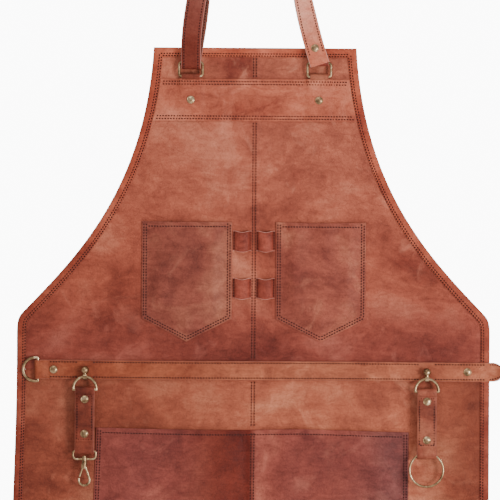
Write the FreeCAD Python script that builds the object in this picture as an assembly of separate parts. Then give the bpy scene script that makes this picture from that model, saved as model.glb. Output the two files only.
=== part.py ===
import FreeCAD, Part
import math
import os

os.makedirs("parts", exist_ok=True)
V = FreeCAD.Vector

# A leather work apron hanging by its neck strap from a wall hook. Millimetres, +Z up.
# The wall is the plane y = 0, the front of the apron faces -Y, and the origin is the middle
# of the hook plate's back. Depths below are measured from the apron's own mid-plane.

# Driving dimensions
APRON_Y = -32.0            # mid-plane of the leather panels
PANEL_T = 2.0              # body leather
TRIM_T = 1.6               # band, tab, pocket and facing leather
BELT_T = 4.0               # two plies of strap leather
STRAP_W = 25.0             # inch strap
STRAP_T = 3.2
BIB_TOP = -375.0
APRON_LENGTH = 860.0
TOP_HALF = 128.7           # half width of the bib's top edge
HEM_HALF = 301.5           # half width of the skirt
WAIST_Z = BIB_TOP - 412.0
HEM_Z = BIB_TOP - APRON_LENGTH
BINDING_W = 10.8
BINDING_T = 1.3
FRONT = -PANEL_T / 2       # front face of the panels, as a depth
CLEAR = 0.3                # gap between pieces that move apart

BAND_TOP, BAND_BOTTOM = BIB_TOP - 39.0, BIB_TOP - 93.0
BAND_T = 3.4
BAND_GAP = 1.2             # between the ends of the band and the edge binding

RING_W, RING_H, RING_WIRE = 33.5, 21.0, 1.7
RING_X = 82.0
RING_Z = BIB_TOP - 27.3
RING_DEPTH = -8.0
RING_TOP_BAR = RING_Z + RING_H / 2 - RING_WIRE
RING_LOW_BAR = RING_Z - RING_H / 2 + RING_WIRE

STRAP_LEAN = 10.0          # degrees from upright where the strap meets the hook
STRAND_STATIONS = 12
PLY_GAP = 0.2              # between the main strap and its free tip lying on it
TIP_END = 0.42             # how far up the strand the free tip reaches
KEEPER_AT, KEEPER_H = 0.34, 9.0
STUD_AT = 0.39
STRAP_RIVET = (76.3, BIB_TOP + 0.5)

ARM_R = 5.0                # hook arm
ARM_Z = -ARM_R - CLEAR
HOOK_REACH, HOOK_RISE = 66.0, 8.0
PLATE_T = 4.0
PLATE_W, PLATE_H = 26.0, 74.0
SCREW_SPACING, SCREW_R, SINK = 50.0, 2.6, 1.5

POCKET_X, POCKET_W = 85.7, 115.5
POCKET_TOP, POCKET_SIDE, POCKET_TIP = BIB_TOP - 221.5, BIB_TOP - 346.0, BIB_TOP - 375.5
POCKET_BULGE = 6.0         # how far a pocket's front stands off the panel
POCKET_SEAM = 6.0          # sewn-down margin
LOOP_W, LOOP_H, LOOP_X = 23.6, 26.0, 15.0
LOOP_ROWS = (BIB_TOP - 246.0, BIB_TOP - 306.5)

BELT_W = 24.4
BELT_LEFT_BAR = -275.2     # bar of the ring at the belt's left end
BELT_WIRE = 1.9
BELT_PLY = 2.0
BELT_LAP = 8.0             # from the bar to the end of the folded-back ply
BELT_DEPTH = FRONT - BELT_T
BELT_END = HEM_HALF + 2.0
BELT_RING_DEPTH = FRONT - BELT_WIRE - CLEAR - BELT_PLY
TAIL_BEND, TAIL_OUT, TAIL_DROP = 35.0, 330.0, 500.0

LOWER_HALF, LOWER_TOP, LOWER_BOTTOM = 199.5, BIB_TOP - 486.0, BIB_TOP - 686.0

HANGER_X = {"left": -214.5, "right": 222.0}
HANGER_DEPTH = -13.8
HANGER_TOP_BAR = WAIST_Z - 25.0
HANGER_WIRE = 1.8
HANGER_CROWN_R = 14.7
HANGER_FOLD = {"left": WAIST_Z - 104.0, "right": WAIST_Z - 105.0}
HANGER_HOLE = {"left": 1.9, "right": 4.5}
PLY = 1.8
RIVET_R = 5.0
SHANK_R = 1.5

HANGER_RIVETS = {"left": (37.3, 81.3), "right": (37.3, 86.8)}
FACING_TOP, FACING_END = 31.5, {"left": 91.0, "right": 95.5}

O_RING_R, O_RING_WIRE = 21.4, 1.5
BAIL_W, BAIL_DROP, BAIL_WIRE = 32.0, 9.8, 1.5
SNAP_WIRE, GATE_WIRE = 1.6, 1.25


def at(x, depth, z):
    return V(x, APRON_Y + depth, z)


def box(x0, x1, d0, d1, z0, z1):
    return Part.makeBox(x1 - x0, d1 - d0, z1 - z0, at(x0, d0, z0))


def rod(x, depth, z, radius, length, direction):
    """Cylinder centred on a point of the apron."""
    way = V(*direction)
    start = at(x, depth, z) - way * (length / 2)
    return Part.makeCylinder(radius, length, start, way)


def ball(x, depth, z, radius):
    return Part.makeSphere(radius, at(x, depth, z))


def plate(points, d0, d1):
    """Flat piece cut to an outline of (x, z) points, between two depths."""
    corners = [at(x, d0, z) for x, z in points]
    face = Part.Face(Part.makePolygon(corners + corners[:1]))
    return face.extrude(V(0, d1 - d0, 0))


def save(name, shape):
    shape = shape.removeSplitter()
    if not shape.isValid():
        print("not valid:", name)
    shape.exportStep("parts/" + name + ".step")
    size = shape.BoundBox
    print("%-22s solids %d volume %.0f  z %.1f to %.1f" % (name, len(shape.Solids), shape.Volume,
                                                         size.ZMin, size.ZMax))


def bezier(poles, t):
    """Point at t on the cubic curve through four (x, z) poles."""
    weights = ((1 - t) ** 3, 3 * t * (1 - t) ** 2, 3 * t * t * (1 - t), t ** 3)
    return tuple(sum(w * p[i] for w, p in zip(weights, poles)) for i in (0, 1))


# ---------------------------------------------------------------- rivets
def rivet(x, z, front, back):
    """Domed cap in front, washer behind, shank between."""
    dome_r = 9.0
    dome = Part.makeSphere(dome_r, at(x, front - 1.2 + math.sqrt(dome_r ** 2 - RIVET_R ** 2), z))
    cap = rod(x, front - 1.5, z, RIVET_R, 3.0, (0, 1, 0)).common(dome)
    shank = rod(x, (front + back) / 2, z, SHANK_R, back - front + 0.2, (0, 1, 0))
    washer = rod(x, back + 0.4, z, RIVET_R - 1, 0.8, (0, 1, 0))
    return cap.fuse([shank, washer])


def rivet_hole(x, z):
    return rod(x, 0, z, SHANK_R + 0.05, 60, (0, 1, 0))


BAND_RIVETS = [(-RING_X, BIB_TOP - 66), (RING_X, BIB_TOP - 66)]
BELT_RIVETS = [(-255.0, WAIST_Z), (274.0, WAIST_Z)]


# ---------------------------------------------------------------- apron outline
ARM_CURVE = [(TOP_HALF, 0), (TOP_HALF + 11, 188), (234, 276), (294.6, 340)]
HIP_CURVE = [(294.6, 340), (300.3, 346), (HEM_HALF, 352), (HEM_HALF, 366)]
HEM_CORNER = 22.0


def arm_edge(z):
    """Half width of the bib at a height, found on the arm curve."""
    low, high = 0.0, 1.0
    for _ in range(40):
        middle = (low + high) / 2
        if bezier(ARM_CURVE, middle)[1] < BIB_TOP - z:
            low = middle
        else:
            high = middle
    return bezier(ARM_CURVE, low)[0]


def edge_points(margin):
    """Half width and drop of points down the arm opening and hip, moved outward by a margin.
    They begin a little above the bib, so that the top can be trimmed square."""
    spots = [(ARM_CURVE, -0.05 + 1.05 * i / 14) for i in range(14)]
    spots += [(HIP_CURVE, i / 4) for i in range(5)]
    points = []
    for poles, t in spots:
        x, drop = bezier(poles, t)
        ahead, behind = bezier(poles, t + 0.01), bezier(poles, t - 0.01)
        run, fall = ahead[0] - behind[0], ahead[1] - behind[1]
        size = math.hypot(run, fall)
        points.append((x + margin * fall / size, drop - margin * run / size))
    return points


def apron_plate(margin, front, back):
    """Solid in the apron's outline: bib with hollowed arm openings widening to a skirt."""
    half = HEM_HALF + margin
    length = APRON_LENGTH + margin
    corner = HEM_CORNER + margin
    near = corner * (1 - math.sqrt(0.5))

    def spot(x, drop):
        return at(x, front, BIB_TOP - drop)

    points = edge_points(margin)
    start, straight = points[0], points[-1][1]
    edges = [Part.makeLine(spot(-start[0], start[1]), spot(*start))]
    for side in (1, -1):
        edge = Part.BSplineCurve()
        edge.interpolate([spot(side * x, drop) for x, drop in points])
        edges.append(edge.toShape())
        edges.append(Part.makeLine(spot(side * half, straight), spot(side * half, length - corner)))
        arc = Part.Arc(spot(side * half, length - corner), spot(side * (half - near), length - near),
                       spot(side * (half - corner), length))
        edges.append(arc.toShape())
    edges.append(Part.makeLine(spot(corner - half, length), spot(half - corner, length)))
    outline = Part.Face(Part.Wire(Part.__sortEdges__(edges)))
    solid = outline.extrude(V(0, back - front, 0))
    return solid.common(box(-400, 400, -9, 9, HEM_Z - 50, BIB_TOP + margin))


def make_panels():
    """Four panels of body leather: bib and skirt, each in two halves."""
    sheet = apron_plate(0.0, FRONT, -FRONT)
    studs = [(x, WAIST_Z) for x in HANGER_X.values()]
    for x, z in BAND_RIVETS + BELT_RIVETS + studs:
        sheet = sheet.cut(rivet_hole(x, z))
    wide = HEM_HALF + 10
    halves = {"left": (-wide, 0), "right": (0, wide)}
    for side, (x0, x1) in halves.items():
        save("bib_%s_panel" % side, sheet.common(box(x0, x1, -9, 9, WAIST_Z, BIB_TOP + 9)))
        save("skirt_%s_panel" % side, sheet.common(box(x0, x1, -9, 9, HEM_Z - 9, WAIST_Z)))


def binding_ring():
    """Folded strip round the whole edge, with the panel's edge in its fold."""
    front, back = FRONT - BINDING_T, BINDING_T - FRONT
    outer = apron_plate(BINDING_T, front, back)
    inner = apron_plate(-BINDING_W, front, back)
    return outer.cut(inner).cut(apron_plate(0.0, FRONT, -FRONT))


def make_bindings():
    """Four strips, mitred where they meet at the corners."""
    ring = binding_ring()
    far = 400.0
    top_in = TOP_HALF - 60
    top = plate([(-TOP_HALF - 9, BIB_TOP + 9), (TOP_HALF + 9, BIB_TOP + 9),
                 (top_in, BIB_TOP - 60), (-top_in, BIB_TOP - 60)], -9, 9)
    hem = plate([(-HEM_HALF - 9, HEM_Z - 9), (HEM_HALF + 9, HEM_Z - 9),
                 (HEM_HALF - 60, HEM_Z + 60), (60 - HEM_HALF, HEM_Z + 60)], -9, 9)
    sides = ring.cut(top).cut(hem)
    save("top_binding", ring.common(top))
    save("hem_binding", ring.common(hem))
    save("left_binding", sides.common(box(-far, 0, -9, 9, HEM_Z - 9, BIB_TOP + 9)))
    right = sides.common(box(0, far, -9, 9, HEM_Z - 9, BIB_TOP + 9))
    save("right_binding", right)


# ---------------------------------------------------------------- chest band and ring tabs
def ring_tab(x):
    """Strap doubled over the ring's lower bar, running down under the band."""
    half = 12.0
    hole = RING_WIRE + CLEAR
    fold = rod(x, RING_DEPTH, RING_LOW_BAR, hole + TRIM_T, 2 * half, (1, 0, 0))
    rise = [(RING_DEPTH - hole, RING_LOW_BAR - 1.0), (RING_DEPTH + hole + TRIM_T, RING_LOW_BAR),
            (FRONT, BAND_TOP - 6), (FRONT, BAND_TOP - 45), (FRONT - TRIM_T, BAND_TOP - 45),
            (FRONT - TRIM_T, BAND_TOP - 7.5)]
    corners = [at(x - half, d, z) for d, z in rise]
    strip = Part.Face(Part.makePolygon(corners + corners[:1])).extrude(V(2 * half, 0, 0))
    bore = rod(x, RING_DEPTH, RING_LOW_BAR, hole, 4 * half, (1, 0, 0))
    return fold.fuse(strip).cut(bore)


def make_band():
    """Band sewn across the chest, lying over the two ring tabs."""
    ends = [(arm_edge(z) - BINDING_W - BAND_GAP, z) for z in (BAND_TOP, BAND_BOTTOM)]
    outline = ends + [(-x, z) for x, z in ends[::-1]]
    band = plate(outline, FRONT - BAND_T, FRONT)
    rivets = []
    for side, (x, z) in zip(("left", "right"), BAND_RIVETS):
        tab = ring_tab(x)
        band = band.cut(box(x - 12.3, x + 12.3, FRONT - TRIM_T - 0.1, FRONT, BAND_TOP - 46, BAND_TOP + 1))
        band = band.cut(box(x - 13, x + 13, -9, FRONT, BAND_TOP - 7.8, BAND_TOP + 1))
        band = band.cut(rivet_hole(x, z))
        save("ring_tab_" + side, tab.cut(rivet_hole(x, z)))
        rivets.append(rivet(x, z, FRONT - BAND_T, -FRONT))
    save("chest_band", band)
    save("band_rivets", Part.makeCompound(rivets))


# ---------------------------------------------------------------- pockets and loops
def frustum(low, high):
    """Solid with flat sides between two matching closed rings of points."""
    count = len(low)
    rings = [list(low), list(high)]
    rings += [[low[i], low[(i + 1) % count], high[(i + 1) % count], high[i]] for i in range(count)]
    faces = [Part.Face(Part.makePolygon(ring + ring[:1])) for ring in rings]
    return Part.Solid(Part.Shell(faces))


def pouch(outline, top, bulge, seam, wall):
    """Pocket front sewn down along its sides and foot, standing off the panel and open on top.
    The outline reaches above the mouth and is trimmed there."""
    def layer(inset, depth):
        corners = [at(x, depth, z) for x, z in outline]
        face = Part.Face(Part.makePolygon(corners + corners[:1]))
        return [v.Point for v in face.makeOffset2D(-inset).OuterWire.OrderedVertexes]

    flange = plate(outline, FRONT - wall, FRONT)
    hump = frustum(layer(seam, FRONT), layer(seam + bulge, FRONT - bulge))
    inside = seam + 1.4 * wall
    space = frustum(layer(inside, FRONT), layer(inside + bulge - wall, FRONT - bulge + wall))
    below = box(-400, 400, -60, 60, -2000, top)
    return flange.fuse(hump).cut(space).common(below)


def make_chest_pockets():
    """Two patch pockets with pointed feet."""
    half = POCKET_W / 2
    for side, x in (("left", -POCKET_X), ("right", POCKET_X)):
        outline = [(x - half, POCKET_SIDE), (x, POCKET_TIP), (x + half, POCKET_SIDE),
                   (x + half, POCKET_TOP + 40), (x - half, POCKET_TOP + 40)]
        save("chest_pocket_" + side, pouch(outline, POCKET_TOP, POCKET_BULGE, POCKET_SEAM, TRIM_T))


def make_lower_pocket():
    """Wide pocket with a seam down its middle that makes two compartments."""
    sides = []
    for x0, x1 in ((-LOWER_HALF, 0), (0, LOWER_HALF)):
        outline = [(x0, LOWER_BOTTOM), (x1, LOWER_BOTTOM), (x1, LOWER_TOP + 40), (x0, LOWER_TOP + 40)]
        sides.append(pouch(outline, LOWER_TOP, POCKET_BULGE, POCKET_SEAM, TRIM_T))
    save("lower_pocket", sides[0].fuse(sides[1]))


def make_tool_loops():
    """Four narrow strips arched off the bib, each a tunnel for a pencil or a tool."""
    for row, z in zip(("upper", "lower"), LOOP_ROWS):
        for side, x in (("left", -LOOP_X), ("right", LOOP_X)):
            low = z - LOOP_H / 2

            def arch(half, rise):
                a, top, b = (at(x - half, FRONT, low), at(x, FRONT - rise, low), at(x + half, FRONT, low))
                edges = [Part.Arc(a, top, b).toShape(), Part.makeLine(b, a)]
                return Part.Face(Part.Wire(edges)).extrude(V(0, 0, LOOP_H))

            feet = box(x - LOOP_W / 2, x + LOOP_W / 2, FRONT - TRIM_T, FRONT, low, low + LOOP_H)
            save("tool_loop_%s_%s" % (row, side), feet.fuse(arch(8.6, 8.4)).cut(arch(7.0, 6.8)))


# ---------------------------------------------------------------- waist belt and tail
def make_belt():
    """Belt sewn over the waist seam; its left end folds round the ring's bar."""
    hole = BELT_WIRE + CLEAR
    z0, z1 = WAIST_Z - BELT_W / 2, WAIST_Z + BELT_W / 2
    belt = box(BELT_LEFT_BAR, BELT_END, BELT_DEPTH, FRONT, z0, z1)
    fold = rod(BELT_LEFT_BAR, BELT_RING_DEPTH, WAIST_Z, hole + BELT_PLY, BELT_W, (0, 0, 1))
    lap = box(BELT_LEFT_BAR, BELT_LEFT_BAR + BELT_LAP, BELT_RING_DEPTH - hole - BELT_PLY, FRONT, z0, z1)
    bore = rod(BELT_LEFT_BAR, BELT_RING_DEPTH, WAIST_Z, hole, 2 * BELT_W, (0, 0, 1))
    edge = HEM_HALF - BINDING_W - 0.2
    over_edge = box(edge, BELT_END + 1, FRONT - BINDING_T - 0.1, 9, z0, z1)
    shape = belt.fuse([fold, lap]).cut(bore).cut(over_edge)
    for x, z in BELT_RIVETS:
        shape = shape.cut(rivet_hole(x, z))
    for x in HANGER_X.values():
        shape = shape.cut(rivet_hole(x, WAIST_Z))
    lap_end = BELT_LEFT_BAR + BELT_LAP
    save("belt_fold", shape.common(box(-400, lap_end, -20, 20, z0 - 1, z1 + 1)))
    save("waist_belt", shape.common(box(lap_end, 400, -20, 20, z0 - 1, z1 + 1)))
    save("belt_rivets", Part.makeCompound([rivet(x, z, BELT_DEPTH, -FRONT) for x, z in BELT_RIVETS]))


def section(centre, across, through, width, thick):
    """Rectangular section of a strap, from its two half directions."""
    a, b = across * (width / 2), through * (thick / 2)
    corners = [centre + a + b, centre - a + b, centre - a - b, centre + a - b]
    return Part.makePolygon(corners + corners[:1])


def make_tail():
    """Waist strap leaving the right edge, turning a quarter about its length, then falling."""
    depth = BELT_DEPTH + STRAP_T / 2
    stations = []
    run = TAIL_OUT - BELT_END
    for i in range(5):
        turn = math.radians(90 * i / 4)
        centre = at(BELT_END + run * i / 4, depth, WAIST_Z)
        across = V(0, math.sin(turn), math.cos(turn))
        stations.append((centre, across, V(1, 0, 0).cross(across)))
    for i in range(1, 7):
        bend = math.radians(90 * i / 6)
        centre = at(TAIL_OUT + TAIL_BEND * math.sin(bend), depth, WAIST_Z - TAIL_BEND * (1 - math.cos(bend)))
        way = V(math.cos(bend), 0, -math.sin(bend))
        stations.append((centre, V(0, 1, 0), way.cross(V(0, 1, 0))))
    end = stations[-1][0] - V(0, 0, TAIL_DROP)
    stations.append((end, V(0, 1, 0), stations[-1][2]))
    wires = [section(c, a, t, BELT_W, STRAP_T) for c, a, t in stations]
    save("waist_strap_tail", Part.makeLoft(wires, True, True))


def bent_wire(points, radius):
    """Round wire along an arc through three points, with rounded ends."""
    arc = Part.Arc(*points).toShape()
    start = arc.valueAt(arc.FirstParameter)
    disc = Part.Wire([Part.makeCircle(radius, start, arc.tangentAt(arc.FirstParameter))])
    tube = Part.Wire([arc]).makePipeShell([disc], True, True)
    return tube.fuse([Part.makeSphere(radius, points[0]), Part.makeSphere(radius, points[2])])


def make_belt_ring():
    """D-shaped ring: bar in the belt's fold, bow to the left."""
    half = BELT_W / 2 + 0.5 + BELT_WIRE
    ends = [at(BELT_LEFT_BAR, BELT_RING_DEPTH, WAIST_Z + s * half) for s in (1, -1)]
    crown = at(BELT_LEFT_BAR - half - 4.0, BELT_RING_DEPTH, WAIST_Z)
    bar = rod(BELT_LEFT_BAR, BELT_RING_DEPTH, WAIST_Z, BELT_WIRE, 2 * half, (0, 0, 1))
    save("belt_d_ring", bent_wire([ends[0], crown, ends[1]], BELT_WIRE).fuse(bar))


# ---------------------------------------------------------------- rings on the neck straps
def wire_loop(x, depth, z, width, height, wire, corners):
    """Closed round-wire loop, a rectangle facing the front, with its upper and lower corner radii."""
    w, h = width / 2 - wire, height / 2 - wire
    parts = []
    for sz, corner in zip((1, -1), corners):
        parts.append(rod(x, depth, z + sz * h, wire, 2 * (w - corner), (1, 0, 0)))
        for sx in (1, -1):
            centre = at(x + sx * (w - corner), depth, z + sz * (h - corner))
            bend = Part.makeTorus(corner, wire, centre, V(0, 1, 0))
            cell = Part.makeBox(corner + wire, 4 * wire, corner + wire, centre - V(0, 2 * wire, 0))
            cell = cell.mirror(centre, V(1, 0, 0)) if sx < 0 else cell
            cell = cell.mirror(centre, V(0, 0, 1)) if sz < 0 else cell
            parts.append(bend.common(cell))
    upright = 2 * h - sum(corners)
    middle = z + (corners[1] - corners[0]) / 2
    for sx in (1, -1):
        parts.append(rod(x + sx * w, depth, middle, wire, upright, (0, 0, 1)))
    return parts[0].fuse(parts[1:])


def make_neck_rings():
    for side, x in (("left", -RING_X), ("right", RING_X)):
        save("neck_ring_" + side, wire_loop(x, RING_DEPTH, RING_Z, RING_W, RING_H, RING_WIRE, (3.4, 3.4)))


# ---------------------------------------------------------------- neck strap
def ease(t):
    t = min(max(t, 0.0), 1.0)
    return t * t * (3 - 2 * t)


def route(side):
    """Poles (x, z) of a strap's middle line, from the ring up to the hook."""
    lean = math.radians(STRAP_LEAN)
    reach = ARM_R + CLEAR + STRAP_T / 2
    end = (side * reach * math.cos(lean), ARM_Z + reach * math.sin(lean))
    above = (end[0] + side * 150 * math.sin(lean), end[1] - 150 * math.cos(lean))
    knee = RING_X - (33 if side > 0 else 0)
    return [(side * RING_X, RING_TOP_BAR), (side * knee, RING_TOP_BAR + 103), above, end]


def strand(side, turn_from, turn_to, offset, top=1.0):
    """Stations from the ring up towards the hook. The strap turns a quarter on the way.
    offset is how far from the ring's plane it starts; it closes up to the plane higher."""
    stations = []
    poles = route(side)
    for i in range(STRAND_STATIONS):
        t = top * i / (STRAND_STATIONS - 1)
        x, z = bezier(poles, t)
        xa, za = bezier(poles, max(t - 0.02, 0))
        xb, zb = bezier(poles, min(t + 0.02, 1))
        way = V(xb - xa, 0, zb - za).normalize()
        turn = math.pi / 2 * ease((t - turn_from) / (turn_to - turn_from))
        across = V(way.z, 0, -way.x) * math.cos(turn) + V(0, 1, 0) * math.sin(turn)
        depth = RING_DEPTH + offset * (1 - ease(t / 0.5)) if offset > 0 else RING_DEPTH + offset
        stations.append((at(x, depth, z), across, across.cross(way) * side))
    return stations


def loft(stations, width, thick):
    return Part.makeLoft([section(c, a, t, width, thick) for c, a, t in stations], True, True)


def tip_strand(apart):
    """Free end of the strap: from the left ring's fold up the front, closing on the main strap."""
    main = strand(-1, 0.55, 0.95, apart, TIP_END)
    stations = []
    for i, (centre, across, through) in enumerate(main):
        t = TIP_END * i / (STRAND_STATIONS - 1)
        gap = 2 * apart - (2 * apart - PLY_GAP - STRAP_T) * ease(t / 0.32)
        stations.append((centre - V(0, gap, 0), across, through))
    return stations


def make_neck_strap():
    """One strap: up from the right ring, over the hook, down, through the left ring and back up.
    It is kept as two halves that meet on top of the hook."""
    hole = RING_WIRE + CLEAR
    apart = hole + STRAP_T / 2
    over = []
    for i in range(1, 8):
        angle = math.radians(STRAP_LEAN + (180 - 2 * STRAP_LEAN) * i / 8)
        out = V(math.cos(angle), 0, math.sin(angle))
        over.append((at(0, RING_DEPTH, ARM_Z) + out * (ARM_R + CLEAR + STRAP_T / 2), V(0, 1, 0), out))
    stations = strand(1, 0.10, 0.55, 0) + over + strand(-1, 0.55, 0.95, apart)[::-1]
    strap = loft(stations, STRAP_W, STRAP_T).fuse(loft(tip_strand(apart), STRAP_W, STRAP_T))
    for x in (-RING_X, RING_X):
        strap = strap.fuse(rod(x, RING_DEPTH, RING_TOP_BAR, hole + STRAP_T, STRAP_W, (1, 0, 0)))
        strap = strap.cut(rod(x, RING_DEPTH, RING_TOP_BAR, hole, 2 * STRAP_W, (1, 0, 0)))
    strap = strap.cut(rivet_hole(*STRAP_RIVET)).cut(rivet_hole(*stud_place()[:2]))
    save("neck_strap_left", strap.common(box(-200, 0, -40, 40, -500, 20)))
    save("neck_strap_right", strap.common(box(0, 200, -40, 40, -500, 20)))
    front, back = RING_DEPTH - STRAP_T / 2, RING_DEPTH + STRAP_T / 2
    save("neck_strap_rivet", rivet(STRAP_RIVET[0], STRAP_RIVET[1], front, back))


def stud_place():
    """x, z and depth of the main strap's middle where the free tip is fastened."""
    centre = strand(-1, 0.55, 0.95, RING_WIRE + CLEAR + STRAP_T / 2, STUD_AT)[-1][0]
    return centre.x, centre.z, centre.y - APRON_Y


def make_tip_fastening():
    """Leather keeper loop round both layers, and the button stud that pins the free tip."""
    apart = RING_WIRE + CLEAR + STRAP_T / 2
    centre, across, through = strand(-1, 0.55, 0.95, apart, KEEPER_AT)[-1]
    half, wall = STRAP_W / 2 + CLEAR, TRIM_T
    front, back = -1.5 * STRAP_T - PLY_GAP - CLEAR, STRAP_T / 2 + CLEAR
    outer = Part.makeBox(2 * (half + wall), back - front + 2 * wall, KEEPER_H,
                         V(-half - wall, front - wall, -KEEPER_H / 2))
    inner = Part.makeBox(2 * half, back - front, 2 * KEEPER_H, V(-half, front, -KEEPER_H))
    keeper = outer.cut(inner)
    keeper.rotate(V(0, 0, 0), V(0, 1, 0), -math.degrees(math.atan2(across.z, across.x)))
    keeper.translate(centre)
    save("strap_keeper", keeper)
    x, z, depth = stud_place()
    face, rear = depth - 1.5 * STRAP_T - 2 * PLY_GAP, depth + STRAP_T / 2 + PLY_GAP
    shank = rod(x, (face + rear) / 2, z, SHANK_R, rear - face + 0.2, (0, 1, 0))
    collar = rod(x, face - 0.9, z, 3.4, 1.8, (0, 1, 0))
    foot = rod(x, rear + 0.4, z, RIVET_R - 1, 0.8, (0, 1, 0))
    save("strap_tip_stud", shank.fuse([collar, foot, ball(x, face - 4.4, z, 3.6)]))


# ---------------------------------------------------------------- wall hook
def make_wall_hook():
    """Screw plate with round ends, and a round arm that turns up at its tip."""
    half_w, half_h = PLATE_W / 2, PLATE_H / 2 - PLATE_W / 2
    back = Part.makeBox(PLATE_W, PLATE_T, 2 * half_h, V(-half_w, -PLATE_T, -half_h))
    for z in (-half_h, half_h):
        back = back.fuse(Part.makeCylinder(half_w, PLATE_T, V(0, -PLATE_T, z), V(0, 1, 0)))
    for z in (-SCREW_SPACING / 2, SCREW_SPACING / 2):
        back = back.cut(Part.makeCylinder(SCREW_R, 3 * PLATE_T, V(0, -2 * PLATE_T, z), V(0, 1, 0)))
        back = back.cut(Part.makeCone(SCREW_R, SCREW_R + SINK, SINK, V(0, SINK - PLATE_T, z), V(0, -1, 0)))
    save("hook_plate", back)
    turn = 10.0
    bend = V(0, turn - HOOK_REACH, ARM_Z + turn)
    start, low = V(0, -PLATE_T, ARM_Z), V(0, turn - HOOK_REACH, ARM_Z)
    arm = Part.makeCylinder(ARM_R, start.y - low.y, start, V(0, -1, 0))
    quarter = Part.makeTorus(turn, ARM_R, bend, V(1, 0, 0))
    cell = Part.makeBox(4 * ARM_R, turn + ARM_R, turn + ARM_R, V(-2 * ARM_R, low.y - turn - ARM_R, ARM_Z - ARM_R))
    tip = Part.makeCylinder(ARM_R, HOOK_RISE, V(0, -HOOK_REACH, bend.z), V(0, 0, 1))
    save("hook_arm", arm.fuse([quarter.common(cell), tip]))
    rosette = Part.makeCylinder(ARM_R + 4, 3.0, start, V(0, -1, 0))
    save("hook_rosette", rosette.cut(Part.makeCylinder(ARM_R, 3.0, start, V(0, -1, 0))))
    top = bend.z + HOOK_RISE
    knob = Part.makeSphere(ARM_R + 2.5, V(0, -HOOK_REACH, top + 4.5))
    save("hook_knob", knob.common(Part.makeBox(40, 40, 40, V(-20, -HOOK_REACH - 20, top))))


# ---------------------------------------------------------------- hangers under the belt
def make_hanger_stud(side):
    """Ball-headed stud through the belt, with an eye below the ball for the D ring's bow."""
    x = HANGER_X[side]
    foot = rod(x, BELT_DEPTH - 0.6, WAIST_Z, 4.6, 1.2, (0, 1, 0))
    post = rod(x, (BELT_DEPTH + HANGER_DEPTH) / 2, WAIST_Z, 2.6, BELT_DEPTH - HANGER_DEPTH, (0, 1, 0))
    shank = rod(x, (BELT_DEPTH - FRONT) / 2, WAIST_Z, SHANK_R, -FRONT - BELT_DEPTH + 0.4, (0, 1, 0))
    washer = rod(x, 0.4 - FRONT, WAIST_Z, RIVET_R - 1, 0.8, (0, 1, 0))
    crown = HANGER_TOP_BAR + 1.5 + HANGER_CROWN_R
    eye = rod(x, HANGER_DEPTH, crown, 3.9, 5.0, (1, 0, 0))
    neck = rod(x, HANGER_DEPTH, (WAIST_Z + crown) / 2, 2.2, WAIST_Z - crown, (0, 0, 1))
    hole = rod(x, HANGER_DEPTH, crown, HANGER_WIRE + 0.6, 9.0, (1, 0, 0))
    parts = [post, shank, washer, eye, neck, ball(x, HANGER_DEPTH, WAIST_Z, RIVET_R)]
    save("hanger_stud_" + side, foot.fuse(parts).cut(hole))


def make_hanger_ring(side):
    """D ring, bow up through the stud's eye, straight bar down in the strap's fold."""
    x, r, middle = HANGER_X[side], HANGER_CROWN_R, HANGER_TOP_BAR + 1.5
    depth = HANGER_DEPTH
    bow = bent_wire([at(x - r, depth, middle), at(x, depth, middle + r), at(x + r, depth, middle)], HANGER_WIRE)
    parts = [rod(x, depth, HANGER_TOP_BAR, HANGER_WIRE, 2 * r, (1, 0, 0))]
    for edge in (x - r, x + r):
        parts.append(rod(edge, depth, middle - 0.75, HANGER_WIRE, 1.5, (0, 0, 1)))
        parts.append(ball(edge, depth, HANGER_TOP_BAR, HANGER_WIRE))
    save("hanger_d_ring_" + side, bow.fuse(parts))


def make_hanger_strap(side):
    """Strap folded round the D ring's bar above and its own hardware below, with a facing ply."""
    x, depth, foot = HANGER_X[side], HANGER_DEPTH, HANGER_FOLD[side]
    half = STRAP_W / 2
    top_hole, low_hole = HANGER_WIRE + CLEAR, HANGER_HOLE[side]
    strap = box(x - half, x + half, depth - PLY, depth + PLY, foot, HANGER_TOP_BAR)
    strap = strap.fuse([rod(x, depth, HANGER_TOP_BAR, top_hole + PLY, STRAP_W, (1, 0, 0)),
                        rod(x, depth, foot, low_hole + PLY, STRAP_W, (1, 0, 0))])
    strap = strap.cut(rod(x, depth, HANGER_TOP_BAR, top_hole, 2 * STRAP_W, (1, 0, 0)))
    strap = strap.cut(rod(x, depth, foot, low_hole, 2 * STRAP_W, (1, 0, 0)))
    facing = box(x - half, x + half, depth - 2 * PLY, depth - PLY,
                 WAIST_Z - FACING_END[side], WAIST_Z - FACING_TOP)
    rivets = []
    for drop in HANGER_RIVETS[side]:
        strap = strap.cut(rivet_hole(x, WAIST_Z - drop))
        facing = facing.cut(rivet_hole(x, WAIST_Z - drop))
        rivets.append(rivet(x, WAIST_Z - drop, depth - 2 * PLY, depth + PLY))
    save("hanger_strap_" + side, strap)
    save("hanger_facing_" + side, facing)
    save("hanger_rivets_" + side, Part.makeCompound(rivets))


def make_o_ring():
    """Plain welded ring hanging in the right strap's lower fold."""
    centre = HANGER_FOLD["right"] + 1.5 - O_RING_R
    save("o_ring", Part.makeTorus(O_RING_R, O_RING_WIRE, at(HANGER_X["right"], HANGER_DEPTH, centre), V(0, 1, 0)))


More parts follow.
